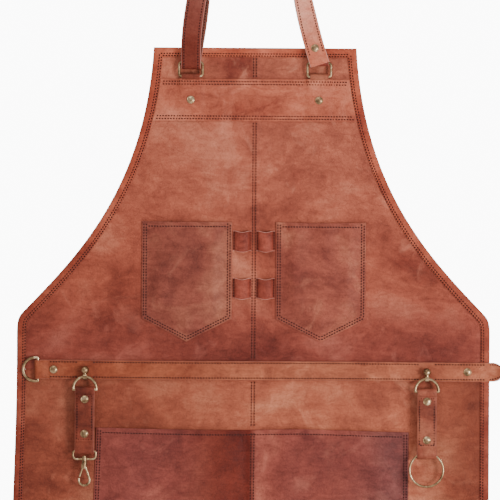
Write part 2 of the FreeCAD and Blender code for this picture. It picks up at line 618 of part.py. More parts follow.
def make_snap():
    """Swivel snap: bail in the left strap's fold, hook turning in it, spring gate on the left."""
    x, depth, bail_top = HANGER_X["left"], HANGER_DEPTH, HANGER_FOLD["left"]
    bar = bail_top - BAIL_DROP
    bail = wire_loop(x, depth, bail_top - BAIL_DROP / 2, BAIL_W, BAIL_DROP + 2 * BAIL_WIRE, BAIL_WIRE, (2.0, 4.8))
    boss = rod(x, depth, bar, 3.2, 5.0, (0, 0, 1))
    save("snap_bail", bail.fuse(boss).cut(rod(x, depth, bar, 1.75, 9.0, (0, 0, 1))))

    def upright(radius, z0, z1):
        return rod(x, depth, (z0 + z1) / 2, radius, z1 - z0, (0, 0, 1))

    pivot_x, pivot_z = x - 1.9, bar - 9.8
    under = bar - 2.5 - CLEAR
    pin = upright(1.5, under - 1, bar + 3.4)
    head = upright(2.6, bar + 2.5 + CLEAR, bar + 4.0)
    collar = upright(3.5, under - 3.4, under)
    shank = upright(3.0, under - 7.9, under - 3.0)
    cheeks = box(x - 3.7, x + 2.4, depth - 2.7, depth + 2.7, pivot_z - 2.4, pivot_z + 3.2)
    ring_z, ring_r = bar - 26.7, 6.85

    def around(degrees):
        a = math.radians(degrees)
        return at(x + ring_r * math.cos(a), depth, ring_z + ring_r * math.sin(a))

    bow = bent_wire([around(18), around(-75), around(-195)], SNAP_WIRE)
    root = at(x + 1.25, depth, bar - 8.4)
    side = Part.makeCylinder(SNAP_WIRE, (root - around(18)).Length, around(18), root - around(18))
    slot = box(x - 9, x + 0.1, depth - 1.55, depth + 1.55, pivot_z - 9, pivot_z + 2.0)
    body = shank.fuse([cheeks]).cut(slot).fuse([pin, head, collar, bow, side])
    save("snap_hook", body.cut(rod(pivot_x, depth, pivot_z, 0.8, 9.0, (0, 1, 0))))
    save("snap_gate_pin", rod(pivot_x, depth, pivot_z, 0.8, 5.6, (0, 1, 0)))
    end = at(x - 5.7, depth, ring_z + 5.0)
    pivot = at(pivot_x, depth, pivot_z)
    knuckle = rod(pivot_x, depth, pivot_z, 1.7, 2.6, (0, 1, 0))
    gate = Part.makeCylinder(GATE_WIRE, (end - pivot).Length, pivot, end - pivot)
    gate = knuckle.fuse([gate, Part.makeSphere(GATE_WIRE, end)])
    save("snap_gate", gate.cut(rod(pivot_x, depth, pivot_z, 0.85, 9.0, (0, 1, 0))))


make_panels()
make_bindings()
make_band()
make_chest_pockets()
make_lower_pocket()
make_tool_loops()
make_belt()
make_tail()
make_belt_ring()
make_neck_rings()
make_neck_strap()
make_tip_fastening()
make_wall_hook()
for hanger in HANGER_X:
    make_hanger_stud(hanger)
    make_hanger_ring(hanger)
    make_hanger_strap(hanger)
make_o_ring()
make_snap()
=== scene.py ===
import math

import bmesh
import bpy
import numpy as np
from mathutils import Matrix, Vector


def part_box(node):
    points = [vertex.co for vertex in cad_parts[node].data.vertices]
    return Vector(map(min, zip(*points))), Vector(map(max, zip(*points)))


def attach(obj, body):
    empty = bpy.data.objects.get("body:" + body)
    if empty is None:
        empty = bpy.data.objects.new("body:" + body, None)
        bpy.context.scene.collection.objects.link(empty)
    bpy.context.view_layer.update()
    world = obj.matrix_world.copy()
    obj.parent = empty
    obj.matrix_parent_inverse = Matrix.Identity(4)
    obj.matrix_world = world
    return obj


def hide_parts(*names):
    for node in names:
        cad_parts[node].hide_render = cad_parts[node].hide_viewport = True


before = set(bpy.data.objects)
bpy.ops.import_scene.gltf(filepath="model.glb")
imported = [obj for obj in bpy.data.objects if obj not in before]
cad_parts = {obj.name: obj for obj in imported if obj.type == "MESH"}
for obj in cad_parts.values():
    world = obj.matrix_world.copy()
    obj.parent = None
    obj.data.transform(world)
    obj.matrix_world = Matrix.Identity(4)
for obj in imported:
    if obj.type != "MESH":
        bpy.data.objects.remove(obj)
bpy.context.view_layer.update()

RNG = np.random.default_rng(58)

# Millimetres inside this script; meshes are written in metres.
# "depth" is measured from the apron's mid-plane, negative towards the viewer, and "drop" down from its top.


def mm(node):
    low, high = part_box(node)
    return np.array(low) * 1000, np.array(high) * 1000


APRON_Y = sum(c[1] for c in mm("bib_left_panel")) / 2
TOP_Z = mm("bib_left_panel")[1][2]
HEM_Z = mm("skirt_left_panel")[0][2]
WAIST_Z = mm("skirt_left_panel")[1][2]
HEM_HALF = -mm("skirt_left_panel")[0][0]
BAND_Z0, BAND_Z1 = (corner[2] for corner in mm("chest_band"))
FOOT_Z, MOUTH_Z = (corner[2] for corner in mm("lower_pocket"))
TOP_HALF = 128.7
# poles of the curved arm edge and of the hip corner below it, as (half width, drop)
ARM = ((TOP_HALF, 0.0), (TOP_HALF + 11, 188.0), (234.0, 276.0), (294.6, 340.0))
HIP = ((294.6, 340.0), (300.3, 346.0), (HEM_HALF, 352.0), (HEM_HALF, 366.0))
CORNER = 22.0
PANEL_T, BAND_T, POCKET_T = 2.0, 1.8, 1.6
FRONT = -PANEL_T / 2
PITCH = 3.6
X_DIR, Y_DIR, Z_DIR = np.eye(3)


# ---- small maths
def smooth(a, b, x):
    t = np.clip((np.asarray(x, float) - a) / (b - a), 0, 1)
    return t * t * (3 - 2 * t)


def bump_at(x, centre, width):
    return np.exp(-((x - centre) / width) ** 2)


def bezier(poles, t):
    t = np.asarray(t, float)[..., None]
    p = np.array(poles)
    return (1 - t) ** 3 * p[0] + 3 * t * (1 - t) ** 2 * p[1] + 3 * t * t * (1 - t) * p[2] + t ** 3 * p[3]


def unit(v):
    return v / np.linalg.norm(v, axis=-1, keepdims=True)


def columns(*parts):
    """Arrays or single numbers, side by side as coordinates."""
    return np.stack(np.broadcast_arrays(*parts), axis=-1)


def headings(path, closed=False):
    """Direction of travel at each point of a path."""
    if closed:
        return unit(np.roll(path, -1, 0) - np.roll(path, 1, 0))
    return unit(np.vstack([path[1:], path[-1]]) - np.vstack([path[0], path[:-1]]))


# points of the outline as (half width, drop)
SIDE = np.vstack([bezier(ARM, np.linspace(0, 1, 120)), bezier(HIP, np.linspace(0, 1, 30))[1:]])


def half_width(z):
    """Half width of the apron at a height."""
    drop = TOP_Z - np.asarray(z, float)
    wide = np.interp(drop, SIDE[:, 1], SIDE[:, 0])
    low = np.clip(drop - (TOP_Z - HEM_Z - CORNER), 0, CORNER)
    return wide - (CORNER - np.sqrt(CORNER ** 2 - low ** 2))


def drape(x, z):
    """How the hanging leather wanders off its plane. Everything sewn to it follows."""
    bib = smooth(-478, -560, z) * smooth(-776, -715, z)
    skirt = smooth(-802, -1180, z)
    y = bib * (1.3 * np.sin(x / 92 + 0.7) + 0.8 * np.sin(z / 64 + x / 120))
    y = y + skirt * (4.2 * np.sin(x / 84 + 0.5) + 1.7 * np.sin(x / 45 + 1.9 + z / 260))
    small = smooth(-470, -500, z) * smooth(-778, -750, z) + smooth(-806, -850, z)
    creases = 0.30 * np.sin(x / 17 + 2.2 * np.sin(z / 41)) * np.sin(z / 29 + 1.3 * np.sin(x / 37))
    return y + small * creases


def at(x, depth, z):
    """Point on the apron: depth from its mid-plane, following the drape. The left side hangs outwards."""
    flare = -6.0 * smooth(-785, -1080, z) * smooth(60, -160, x)
    return columns(x + flare, APRON_Y + depth + drape(x, z), z)


# ---- materials
def colour(r, g, b):
    def lin(c):
        c = c / 255
        return c / 12.92 if c <= 0.04045 else ((c + 0.055) / 1.055) ** 2.4
    return (lin(r), lin(g), lin(b), 1.0)


class Paint:
    """One material and the few node calls that its recipe needs."""

    def __init__(self, name):
        self.mat = bpy.data.materials.new(name)
        self.mat.use_nodes = True
        self.tree = self.mat.node_tree
        self.bsdf = self.tree.nodes["Principled BSDF"]
        self.place = self.tree.nodes.new("ShaderNodeTexCoord").outputs["Object"]

    def put(self, kind, props=None, **inputs):
        """A node with its properties and inputs. i0, i1 and so on are input numbers."""
        node = self.tree.nodes.new(kind)
        for key, value in (props or {}).items():
            setattr(node, key, value)
        for key, value in inputs.items():
            socket = node.inputs[int(key[1:]) if key[0] == "i" and key[1:].isdigit() else key]
            if isinstance(value, bpy.types.NodeSocket):
                self.tree.links.new(value, socket)
            else:
                socket.default_value = value
        return node

    def noise(self, scale, detail=4.0, rough=0.55, warp=0.0, place=None):
        return self.put("ShaderNodeTexNoise", Vector=place or self.place, Scale=scale, Detail=detail,
                        Roughness=rough, Distortion=warp).outputs[0]

    def cells(self, scale, feature="F1", place=None):
        node = self.put("ShaderNodeTexVoronoi", {"feature": feature}, Vector=place or self.place, Scale=scale)
        return node.outputs[0]

    def ramp(self, factor, *stops):
        node = self.put("ShaderNodeValToRGB", Fac=factor)
        band = node.color_ramp
        band.elements[0].position, band.elements[0].color = stops[0]
        band.elements[1].position, band.elements[1].color = stops[-1]
        for position, shade in stops[1:-1]:
            band.elements.new(position).color = shade
        return node.outputs[0]

    def span(self, value, a, b, low=0.0, high=1.0):
        props = {"interpolation_type": "SMOOTHSTEP"}
        return self.put("ShaderNodeMapRange", props, i0=value, i1=a, i2=b, i3=low, i4=high).outputs[0]

    def mix(self, kind, factor, a, b):
        props = {"data_type": "RGBA", "blend_type": kind}
        return self.put("ShaderNodeMix", props, i0=factor, i6=a, i7=b).outputs[2]

    def darken(self, share, shade, value, a, b, tint):
        """Tint where the value is low, gone where it reaches b."""
        return self.mix("MULTIPLY", share, shade, self.ramp(value, (a, (*tint, 1)), (b, (1, 1, 1, 1))))

    def axis(self, name):
        return self.put("ShaderNodeSeparateXYZ", i0=self.place).outputs[name]

    def shifted(self, shade, shift):
        """Tint that comes in along an axis of the piece, from one place (metres) to another."""
        for axis, a, b, tint in shift:
            shade = self.mix("MULTIPLY", self.span(self.axis(axis), a, b), shade, (*tint, 1.0))
        return shade

    def stretch(self, x, y, z):
        return self.put("ShaderNodeMapping", Vector=self.place, Scale=(x, y, z)).outputs[0]

    def bump(self, height, distance, strength, under=None):
        extra = {"Normal": under} if under else {}
        node = self.put("ShaderNodeBump", Height=height, Distance=distance, Strength=strength, **extra)
        return node.outputs[0]

    def finish(self, shade, rough, normal=None, **fixed):
        for name, value in (("Base Color", shade), ("Roughness", rough), ("Normal", normal)):
            if isinstance(value, bpy.types.NodeSocket):
                self.tree.links.new(value, self.bsdf.inputs[name])
            elif value is not None:
                self.bsdf.inputs[name].default_value = value
        for name, value in fixed.items():
            self.bsdf.inputs[name.replace("_", " ")].default_value = value
        return self.mat


def leather(name, dark, mid, light, gloss=0.52, grain=1.0, shift=(), patch=8.0):
    """Oiled full-grain leather: cloudy dye, pores, fine wrinkles and paler stretched spots."""
    p = Paint(name)
    clouds = p.noise(patch, 6.0, 0.62, 0.5)
    shade = p.ramp(clouds, (0.30, colour(*dark)), (0.52, colour(*mid)), (0.74, colour(*light)))
    blotch = p.noise(48.0, 6.0, 0.68, 0.8)
    tone = p.ramp(blotch, (0.25, (0.25, 0.25, 0.25, 1)), (0.75, (0.78, 0.74, 0.72, 1)))
    shade = p.mix("SOFT_LIGHT", 0.55, shade, tone)
    streaks = p.noise(24.0, 7.0, 0.72, 1.8, place=p.stretch(1, 1, 2.8))
    tone = p.ramp(streaks, (0.34, (0.26, 0.25, 0.25, 1)), (0.66, (0.76, 0.74, 0.72, 1)))
    shade = p.mix("SOFT_LIGHT", 0.5, shade, tone)
    speck = p.noise(420.0, 4.0, 0.7)
    shade = p.darken(0.45, shade, speck, 0.30, 0.55, (0.55, 0.5, 0.48))
    wander = p.put("ShaderNodeTexNoise", Vector=p.place, Scale=70.0, Detail=3.0).outputs[1]
    wrinkle = p.cells(95.0, "DISTANCE_TO_EDGE", p.mix("LINEAR_LIGHT", 0.012, p.place, wander))
    lines = p.span(wrinkle, 0.0, 0.07)
    worn = p.span(p.noise(17.0, 5.0, 0.6, 1.2), 0.56, 0.72)
    rubbed = p.put("ShaderNodeMath", {"operation": "MULTIPLY"}, i0=worn, i1=0.22).outputs[0]
    shade = p.mix("MIX", rubbed, shade, colour(*[min(255, c * 1.16 + 10) for c in light]))
    shade = p.darken(0.26, shade, lines, 0.0, 1.0, (0.5, 0.42, 0.4))
    shade = p.shifted(shade, shift)
    pores = p.cells(900.0)
    rough = p.span(blotch, 0.3, 0.7, gloss - 0.07, gloss + 0.10)
    rise = p.bump(blotch, 0.0011 * grain, 0.55)
    rise = p.bump(lines, 0.00022 * grain, 0.5, rise)
    rise = p.bump(pores, 0.00028 * grain, 0.7, rise)
    return p.finish(shade, rough, rise, Specular_IOR_Level=0.13)


def suede(name, dark, light):
    """Flesh side: soft nap with brushed patches."""
    p = Paint(name)
    nap = p.noise(30.0, 7.0, 0.7, 0.6)
    shade = p.ramp(nap, (0.3, colour(*dark)), (0.7, colour(*light)))
    fibre = p.noise(900.0, 5.0, 0.8)
    shade = p.darken(0.4, shade, fibre, 0.3, 0.7, (0.62, 0.6, 0.6))
    rise = p.bump(fibre, 0.0005, 0.6, p.bump(nap, 0.001, 0.4))
    return p.finish(shade, p.span(nap, 0.3, 0.7, 0.82, 0.97), rise, Specular_IOR_Level=0.2)


def edge_paint(name, dark, light, gloss=0.5, shift=()):
    """Cut edge of leather: raw fibre or a rubbed coat of edge paint, scuffed in places. It also paints the
    shade in the needle holes.
    """
    p = Paint(name)
    scuff = p.noise(140.0, 5.0, 0.7, 0.4)
    shade = p.ramp(scuff, (0.28, colour(*dark)), (0.62, colour(*light)))
    layers = p.noise(160.0, 2.0, 0.5, place=p.stretch(1, 18, 1))
    shade = p.darken(0.3, shade, layers, 0.35, 0.6, (0.6, 0.55, 0.55))
    shade = p.shifted(shade, shift)
    return p.finish(shade, p.span(scuff, 0.3, 0.7, gloss - 0.08, gloss + 0.15), p.bump(scuff, 0.0004, 0.6))


def metal(name, tarnish, mid, bright, low=0.22, high=0.45, pit=0.00012):
    """Old plated metal: bright where rubbed, brown where it has tarnished, with fine pits."""
    p = Paint(name)
    film = p.noise(75.0, 6.0, 0.65, 0.9)
    shade = p.ramp(film, (0.30, colour(*tarnish)), (0.50, colour(*mid)), (0.70, colour(*bright)))
    fine = p.noise(900.0, 4.0, 0.7)
    shade = p.darken(0.35, shade, fine, 0.35, 0.6, (0.6, 0.55, 0.5))
    rise = p.bump(fine, pit, 0.7, p.bump(film, 0.0003, 0.4))
    return p.finish(shade, p.span(film, 0.3, 0.7, high, low), rise, Metallic=1.0)


def thread_paint():
    p = Paint("waxed_thread")
    twist = p.noise(1500.0, 2.0, 0.5, place=p.stretch(1, 1, 2.4))
    wax = p.noise(60.0, 4.0, 0.6)
    shade = p.ramp(wax, (0.3, colour(40, 8, 5)), (0.7, colour(64, 14, 8)))
    shade = p.darken(0.5, shade, twist, 0.4, 0.6, (0.55, 0.5, 0.5))
    return p.finish(shade, 0.6, p.bump(twist, 0.0003, 0.7), Specular_IOR_Level=0.06)


BODY = leather("body_leather", (105, 42, 33), (162, 87, 67), (196, 126, 101),
               shift=(("Z", -0.46, -0.70, (0.90, 0.80, 0.78)), ("Z", -0.66, -0.76, (0.68, 0.60, 0.70)),
                      ("Z", -0.425, -0.405, (1.16, 1.26, 1.24)), ("X", 0.03, -0.20, (0.92, 0.88, 0.86))),
               patch=6.5)
SKIRT = leather("skirt_leather", (104, 42, 32), (160, 86, 63), (194, 125, 95),
                shift=(("X", 0.03, -0.20, (0.62, 0.53, 0.53)), ("X", 0.20, 0.275, (0.54, 0.44, 0.42))),
                patch=6.5)
TRIM = leather("binding_leather", (132, 51, 36), (171, 82, 57), (198, 108, 82), gloss=0.5,
               shift=(("X", 0.1, -0.28, (0.90, 0.86, 0.84)), ("Z", -0.45, -0.80, (0.66, 0.64, 0.70))),
               patch=14.0)
BAND = leather("band_leather", (130, 57, 42), (174, 93, 70), (198, 120, 95),
               shift=(("X", 0.05, -0.10, (0.92, 0.90, 0.90)),), patch=11.0)
POCKET = leather("pocket_leather", (100, 43, 37), (139, 71, 57), (172, 105, 81), gloss=0.5,
                 shift=(("X", 0.09, -0.10, (0.78, 0.78, 0.80)),), patch=12.0)
LOWER = leather("lower_pocket_leather", (97, 42, 39), (130, 64, 56), (164, 94, 79), gloss=0.5,
                shift=(("X", -0.15, -0.02, (0.42, 0.20, 0.16)), ("X", -0.005, 0.008, (2.5, 5.2, 6.2)),
                       ("X", 0.10, 0.18, (0.62, 0.68, 0.84))),
                patch=9.0)
LOOPS = leather("loop_leather", (102, 40, 32), (134, 61, 48), (162, 86, 70), gloss=0.5, patch=30.0)
BELT = leather("belt_leather", (126, 60, 42), (167, 96, 69), (193, 125, 94), gloss=0.5,
               shift=(("X", 0.02, -0.15, (0.64, 0.48, 0.42)), ("X", 0.06, 0.20, (0.90, 0.84, 0.84))),
               patch=13.0)
STRAP = leather("strap_leather", (89, 38, 28), (131, 66, 50), (162, 98, 74), gloss=0.5,
                shift=(("X", 0.10, -0.10, (0.72, 0.60, 0.58)),), patch=16.0)
NECK = leather("neck_strap_leather", (193, 115, 92), (216, 140, 117), (232, 166, 144), gloss=0.55,
               shift=(("X", 0.012, -0.02, (0.30, 0.20, 0.21)), ("Z", -0.31, -0.38, (0.72, 0.46, 0.38))),
               patch=18.0)
FLESH = suede("flesh_side", (134, 92, 74), (170, 126, 104))
STRAP_FLESH = suede("strap_flesh", (92, 48, 38), (126, 74, 60))
CUT_EDGE = edge_paint("cut_edge", (104, 44, 32), (160, 86, 64))
LOOP_EDGE = edge_paint("loop_edge", (170, 100, 84), (218, 158, 142), 0.55)
STRAP_EDGE = edge_paint("strap_edge", (186, 122, 108), (220, 168, 154), 0.55,
                        shift=(("X", 0.012, -0.02, (0.74, 0.54, 0.52)),))
BRASS = metal("antique_brass", (72, 54, 38), (158, 128, 95), (228, 202, 166), 0.24, 0.42)
HOOK_BRASS = metal("hook_brass", (120, 88, 48), (186, 146, 84), (226, 192, 130))
IRON = metal("blackened_iron", (22, 21, 20), (38, 36, 34), (66, 62, 58), 0.42, 0.6, 0.0003)
# painted shade: flat dark discs laid where the needle holes are, standing in for their hollows
HOLE_SHADE = edge_paint("needle_hole_shade", (34, 10, 9), (52, 16, 13), 0.8)
THREAD = thread_paint()


# ---- mesh helpers
def link(name, data):
    obj = bpy.data.objects.new(name, data)
    bpy.context.scene.collection.objects.link(obj)
    return obj


def add(name, verts, faces, mats, body, nodes=(), index=None, sharp=48, flat=None):
    """Mesh piece that rides on a body. flat gives the first single-sided face and the ways they look."""
    mesh = bpy.data.meshes.new(name)
    mesh.from_pydata((np.asarray(verts, float) * 0.001).tolist(), [], [list(f) for f in faces])
    for mat in mats:
        mesh.materials.append(mat)
    if index is not None:
        mesh.polygons.foreach_set("material_index", np.asarray(index, np.int32))
    bm = bmesh.new()
    bm.from_mesh(mesh)
    bm.faces.ensure_lookup_table()
    closed = bm.faces if flat is None else bm.faces[:flat[0]]
    bmesh.ops.recalc_face_normals(bm, faces=closed)
    if flat is not None:
        bm.normal_update()
        for face, want in zip(bm.faces[flat[0]:], flat[1]):
            if face.normal.dot(want) < 0:
                face.normal_flip()
    bm.to_mesh(mesh)
    bm.free()
    mesh.polygons.foreach_set("use_smooth", np.ones(len(mesh.polygons), bool))
    mesh.set_sharp_from_angle(angle=math.radians(sharp))
    mesh.update()
    obj = link(name, mesh)
    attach(obj, body)
    if nodes:
        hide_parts(*nodes)
    return obj


def tube(count, k, closed=False):
    """Faces of a tube of rings with k points each. An open one is capped at both ends."""
    faces = []
    for i in range(count if closed else count - 1):
        a, b = i * k, (i + 1) % count * k
        faces += [(a + m, a + (m + 1) % k, b + (m + 1) % k, b + m) for m in range(k)]
    if not closed:
        faces += [tuple(range(k)), tuple((count - 1) * k + m for m in range(k))]
    return faces


LIP, ROUND = 0.45, 1.1


def steps(count, edge):
    """Values from 0 to 1, with two narrow steps at each end for a rounded-over edge."""
    inner = np.linspace(0, 1, count + 1)[1:-1]
    inner = inner[(inner > edge * 1.3) & (inner < 1 - edge * 1.3)]
    ends = np.array([0, edge * 0.35, edge])
    return np.concatenate([ends, inner, 1 - ends[::-1]])


def slab(name, shape, size, counts, front, thick, grain, nodes):
    """Closed sheet lying on the apron. shape(u, v) gives x and z, front(x, z) its front depth."""
    us, vs = steps(counts[0], ROUND / size[0]), steps(counts[1], ROUND / size[1])
    u, v = np.meshgrid(us, vs)
    x, z = shape(u, v)
    gap = np.minimum(np.minimum(u, 1 - u) * size[0], np.minimum(v, 1 - v) * size[1])
    near = np.clip(1 - gap / ROUND, 0, 1) ** 2
    depth = front(x, z)
    top = at(x, depth + LIP * near, z).reshape(-1, 3)
    low = at(x, depth + thick, z).reshape(-1, 3)
    rows, cols = u.shape
    n = rows * cols
    faces, index = [], []
    for r in range(rows - 1):
        for c in range(cols - 1):
            a, b = r * cols + c, (r + 1) * cols + c
            faces.append((a, a + 1, b + 1, b))
            index.append(0)
            faces.append((n + a, n + b, n + b + 1, n + a + 1))
            index.append(2)
    rim = list(range(cols)) + [r * cols + cols - 1 for r in range(1, rows)]
    rim += [(rows - 1) * cols + c for c in range(cols - 2, -1, -1)]
    rim += [r * cols for r in range(rows - 2, 0, -1)]
    for i, a in enumerate(rim):
        b = rim[(i + 1) % len(rim)]
        faces.append((a, n + a, n + b, b))
        index.append(1)
    mats = [grain, CUT_EDGE, FLESH]
    return add(name, np.vstack([top, low]), faces, mats, "apron", nodes, index)


def ribbon(name, centre, across, out, width, thick, mats, body, nodes=(), slot="strap_leather",
           closed=False, crown=0.0, scale=None):
    """Strap swept along stations, with painted rounded edges. out is the grain side."""
    centre, across, out = (np.asarray(a, float) for a in (centre, across, out))
    w, t = width / 2, thick / 2
    b = min(0.55, thick * 0.28)
    flat = np.linspace(-(w - b), w - b, 7)
    profile = [(a, t + crown * (1 - (a / w) ** 2)) for a in flat] + [(w, t - b), (w, b - t)]
    profile += [(a, -t) for a in flat[::-1]] + [(-w, b - t), (-w, t - b)]
    kinds = [0] * 6 + [1, 1, 1] + [2] * 6 + [1, 1, 1]
    rings, count = [], len(centre)
    for i in range(count):
        s = 1.0 if scale is None else scale[i]
        rings += [centre[i] + across[i] * (a * s) + out[i] * n for a, n in profile]
    index = kinds * count if closed else kinds * (count - 1) + [1, 1]
    add(name, rings, tube(count, len(profile), closed), mats, body, nodes, index)


# ---- stitches
SEWN = {}
HALF_STITCH, STITCH_SIDE, STITCH_RISE = 0.78, 0.86, 0.34
# size of the flat dark discs of painted shade at the needle holes
HOLE_SHADE_LONG, HOLE_SHADE_WIDE = 0.46, 0.94


def sew(body, points, normal, pitch=PITCH):
    """A row of stitches along points on a surface."""
    points = np.asarray(points, float)
    normal = np.broadcast_to(np.asarray(normal, float), points.shape)
    run = np.concatenate([[0], np.cumsum(np.linalg.norm(np.diff(points, axis=0), axis=1))])
    spots = np.arange(2.5, run[-1] - 1.2, pitch)
    if not len(spots):
        return

    def read(data, s):
        return columns(*[np.interp(s, run, data[:, i]) for i in range(3)])

    middle = read(points, spots)
    way = read(points, spots + 0.8) - read(points, spots - 0.8)
    SEWN.setdefault(body, []).append((middle, way, read(normal, spots)))


def seam(line, depth, behind=True, pitch=PITCH):
    """Stitches on the apron's face at (x, z) points, and where they come out behind."""
    line = np.asarray(line, float)
    x, z = line[:, 0], line[:, 1]
    face = depth(x, z) if callable(depth) else depth
    sew("apron", at(x, face, z), -Y_DIR, pitch)
    if behind:
        sew("apron", at(x, -FRONT, z), Y_DIR, pitch)


def thread(body, rows):
    """All the stitches of a body as one piece: a slanted spindle of thread between two needle holes each,
    with a flat dark disc of painted shade on each hole.
    """
    middle, way, normal = (np.vstack([r[i] for r in rows]) for i in range(3))
    way = unit(way)
    side = unit(np.cross(way, normal))
    normal = np.cross(side, way)
    tilt = RNG.normal(0.10, 0.05, len(middle))[:, None]
    way, side = way + side * tilt, side - way * tilt
    length = RNG.normal(HALF_STITCH, 0.05, len(middle))[:, None]
    sides = 5
    ring = [(-1.0, 0.0, 0.0)]
    for s, r in ((-0.62, 0.85), (0.0, 1.0), (0.62, 0.85)):
        ring += [(s, r, math.tau * i / sides) for i in range(sides)]
    ring.append((1.0, 0.0, 0.0))
    k = len(ring)
    cloud = [middle + way * (length * s) + side * (STITCH_SIDE * r * math.cos(a))
             + normal * (STITCH_RISE * (r * math.sin(a) - s * s) + 0.08) for s, r, a in ring]
    cell = [(0, 1 + (i + 1) % sides, 1 + i) for i in range(sides)]
    for row in range(2):
        a, b = 1 + row * sides, 1 + (row + 1) * sides
        cell += [(a + i, a + (i + 1) % sides, b + (i + 1) % sides, b + i) for i in range(sides)]
    last = 1 + 2 * sides
    cell += [(last + i, last + (i + 1) % sides, k - 1) for i in range(sides)]
    faces = [tuple(v + k * i for v in f) for i in range(len(middle)) for f in cell]
    index = [0] * len(faces)
    # flat dark discs at both ends of each stitch: painted shade of the needle holes, not hollows
    spots = [middle + way * (s * (length - 0.02)) + normal * 0.06 for s in (-1, 1)]
    turns = np.linspace(0, math.tau, 6, endpoint=False)
    hole_shades = []
    for spot in spots:
        rim = [spot + way * (HOLE_SHADE_LONG * math.cos(a)) + side * (HOLE_SHADE_WIDE * math.sin(a)) for a in turns]
        hole_shades.append(np.stack(rim, axis=1).reshape(-1, 3))
    base = len(middle) * k
    faces += [tuple(range(base + 6 * i, base + 6 * i + 6)) for i in range(2 * len(middle))]
    index += [1] * (2 * len(middle))
    outward = np.concatenate([normal, normal])
    verts = np.vstack([np.stack(cloud, axis=1).reshape(-1, 3)] + hole_shades)
    add("stitching_" + body, verts, faces, [THREAD, HOLE_SHADE], body, index=index, sharp=180,
        flat=(len(faces) - len(outward), outward))


# ---- panels
def seam_rise(x, z):
    """The two halves overlap along the centre seam, which stands slightly proud."""
    return -0.5 * (1 - smooth(3.6, 6.0, np.abs(x)))


def panel_front(x, z):
    return FRONT + seam_rise(x, z)


def make_panels():
    for part, z0, z1, mat in (("bib", WAIST_Z, TOP_Z, BODY), ("skirt", HEM_Z, WAIST_Z, SKIRT)):
        for side, sign in (("left", -1), ("right", 1)):
            def shape(u, v, z0=z0, z1=z1, sign=sign):
                z = z0 + 0.05 + (z1 - z0 - 0.1) * v
                return sign * (0.04 + (half_width(z) - 0.4) * u), z

            node = "%s_%s_panel" % (part, side)
            sheet = slab(node + "_leather", shape, (300, z1 - z0), (64, 84), panel_front, PANEL_T,
                         mat, [node])


def make_seam_tapes():
    """Tapes that cover the centre and waist seams behind."""
    tapes = (("centre_seam_tape", (TOP_Z + HEM_Z) / 2, (13.0, TOP_Z - HEM_Z - 21), (4, 220), 0.85),
             ("waist_seam_tape", WAIST_Z, (2 * HEM_HALF - 22, 13.0), (150, 4), 1.35))
    for name, z_mid, (wide, tall), counts, depth in tapes:
        def shape(u, v, wide=wide, tall=tall, z_mid=z_mid):
            return wide * (u - 0.5), z_mid + tall * (v - 0.5)

        slab(name, shape, (wide, tall), counts, lambda x, z: depth + 0 * x, 1.0, FLESH, ())


def sew_centre_seam():
    """Two rows down the middle. In front they stop at the band, the belt and the lower pocket."""
    shown = ((TOP_Z - 11, BAND_Z1), (BAND_Z0 - 0.5, WAIST_Z + 13), (WAIST_Z - 13, MOUTH_Z),
             (FOOT_Z - 1, HEM_Z + 11))
    for x in (-1.9, 1.9):
        for z0, z1 in shown:
            seam(np.linspace((x, z0), (x, z1), 60), panel_front, behind=False)
        sew("apron", at(x, 1.9, np.linspace(TOP_Z - 12, HEM_Z + 12, 300)), Y_DIR)


# ---- edge binding
WIDE, BINDING_DEPTH = 10.8, 2.44
# section of the folded strip, as (share of its width, depth): the front half, and the same again behind
FOLD = [(1.0, -1.02), (1.0, -2.0), (0.965, -2.30), (0.75, -2.42), (0.45, -BINDING_DEPTH), (0.18, -2.36),
        (0.03, -1.95), (-0.07, -1.2), (-0.11, 0.0)]
FOLD += [(s, -d) for s, d in FOLD[-2::-1]]


def side_line(sign):
    """Outline points and inward directions down one side, from the top corner to the hem corner."""
    points = [(np.array([TOP_HALF, 0.0]), np.array([-(WIDE - 0.6) / WIDE, 1.0]) * WIDE)]
    table = [(ARM, t) for t in np.linspace(0.022, 1, 60)] + [(HIP, t) for t in np.linspace(0.12, 1, 8)]
    for poles, t in table:
        a, b = bezier(poles, t - 0.004), bezier(poles, t + 0.004)
        way = unit(b - a)
        points.append((bezier(poles, t), np.array([-way[1], way[0]]) * WIDE))
    length = TOP_Z - HEM_Z
    for drop in np.linspace(376, length - CORNER, 40):
        points.append((np.array([HEM_HALF, drop]), np.array([-WIDE, 0.0])))
    for degrees in np.linspace(7.5, 45, 6):
        a = math.radians(degrees)
        way = np.array([math.cos(a), math.sin(a)])
        points.append((np.array([HEM_HALF - CORNER, length - CORNER]) + way * CORNER, -way * WIDE))
    return [(np.array([sign * p[0], TOP_Z - p[1]]), np.array([sign * n[0], -n[1]])) for p, n in points]


def top_line():
    inner = TOP_HALF - WIDE + 0.6
    xs = np.concatenate([[-TOP_HALF], np.linspace(-inner, inner, 40), [TOP_HALF]])
    line = []
    for x in xs:
        mitre = -math.copysign(WIDE - 0.6, x) if abs(x) > TOP_HALF - 0.1 else 0.0
        line.append((np.array([x, TOP_Z]), np.array([mitre, -WIDE])))
    return line


def hem_line():
    line = []
    for degrees in np.linspace(45, 82.5, 6):
        a = math.radians(degrees)
        way = np.array([math.cos(a), -math.sin(a)])
        line.append((np.array([HEM_HALF - CORNER, HEM_Z + CORNER]) + way * CORNER, -way * WIDE))
    for x in np.linspace(HEM_HALF - CORNER, 0, 30):
        line.append((np.array([x, HEM_Z]), np.array([0.0, WIDE])))
    left = [(p * (-1, 1), n * (-1, 1)) for p, n in line[:-1]]
    return line + left[::-1]


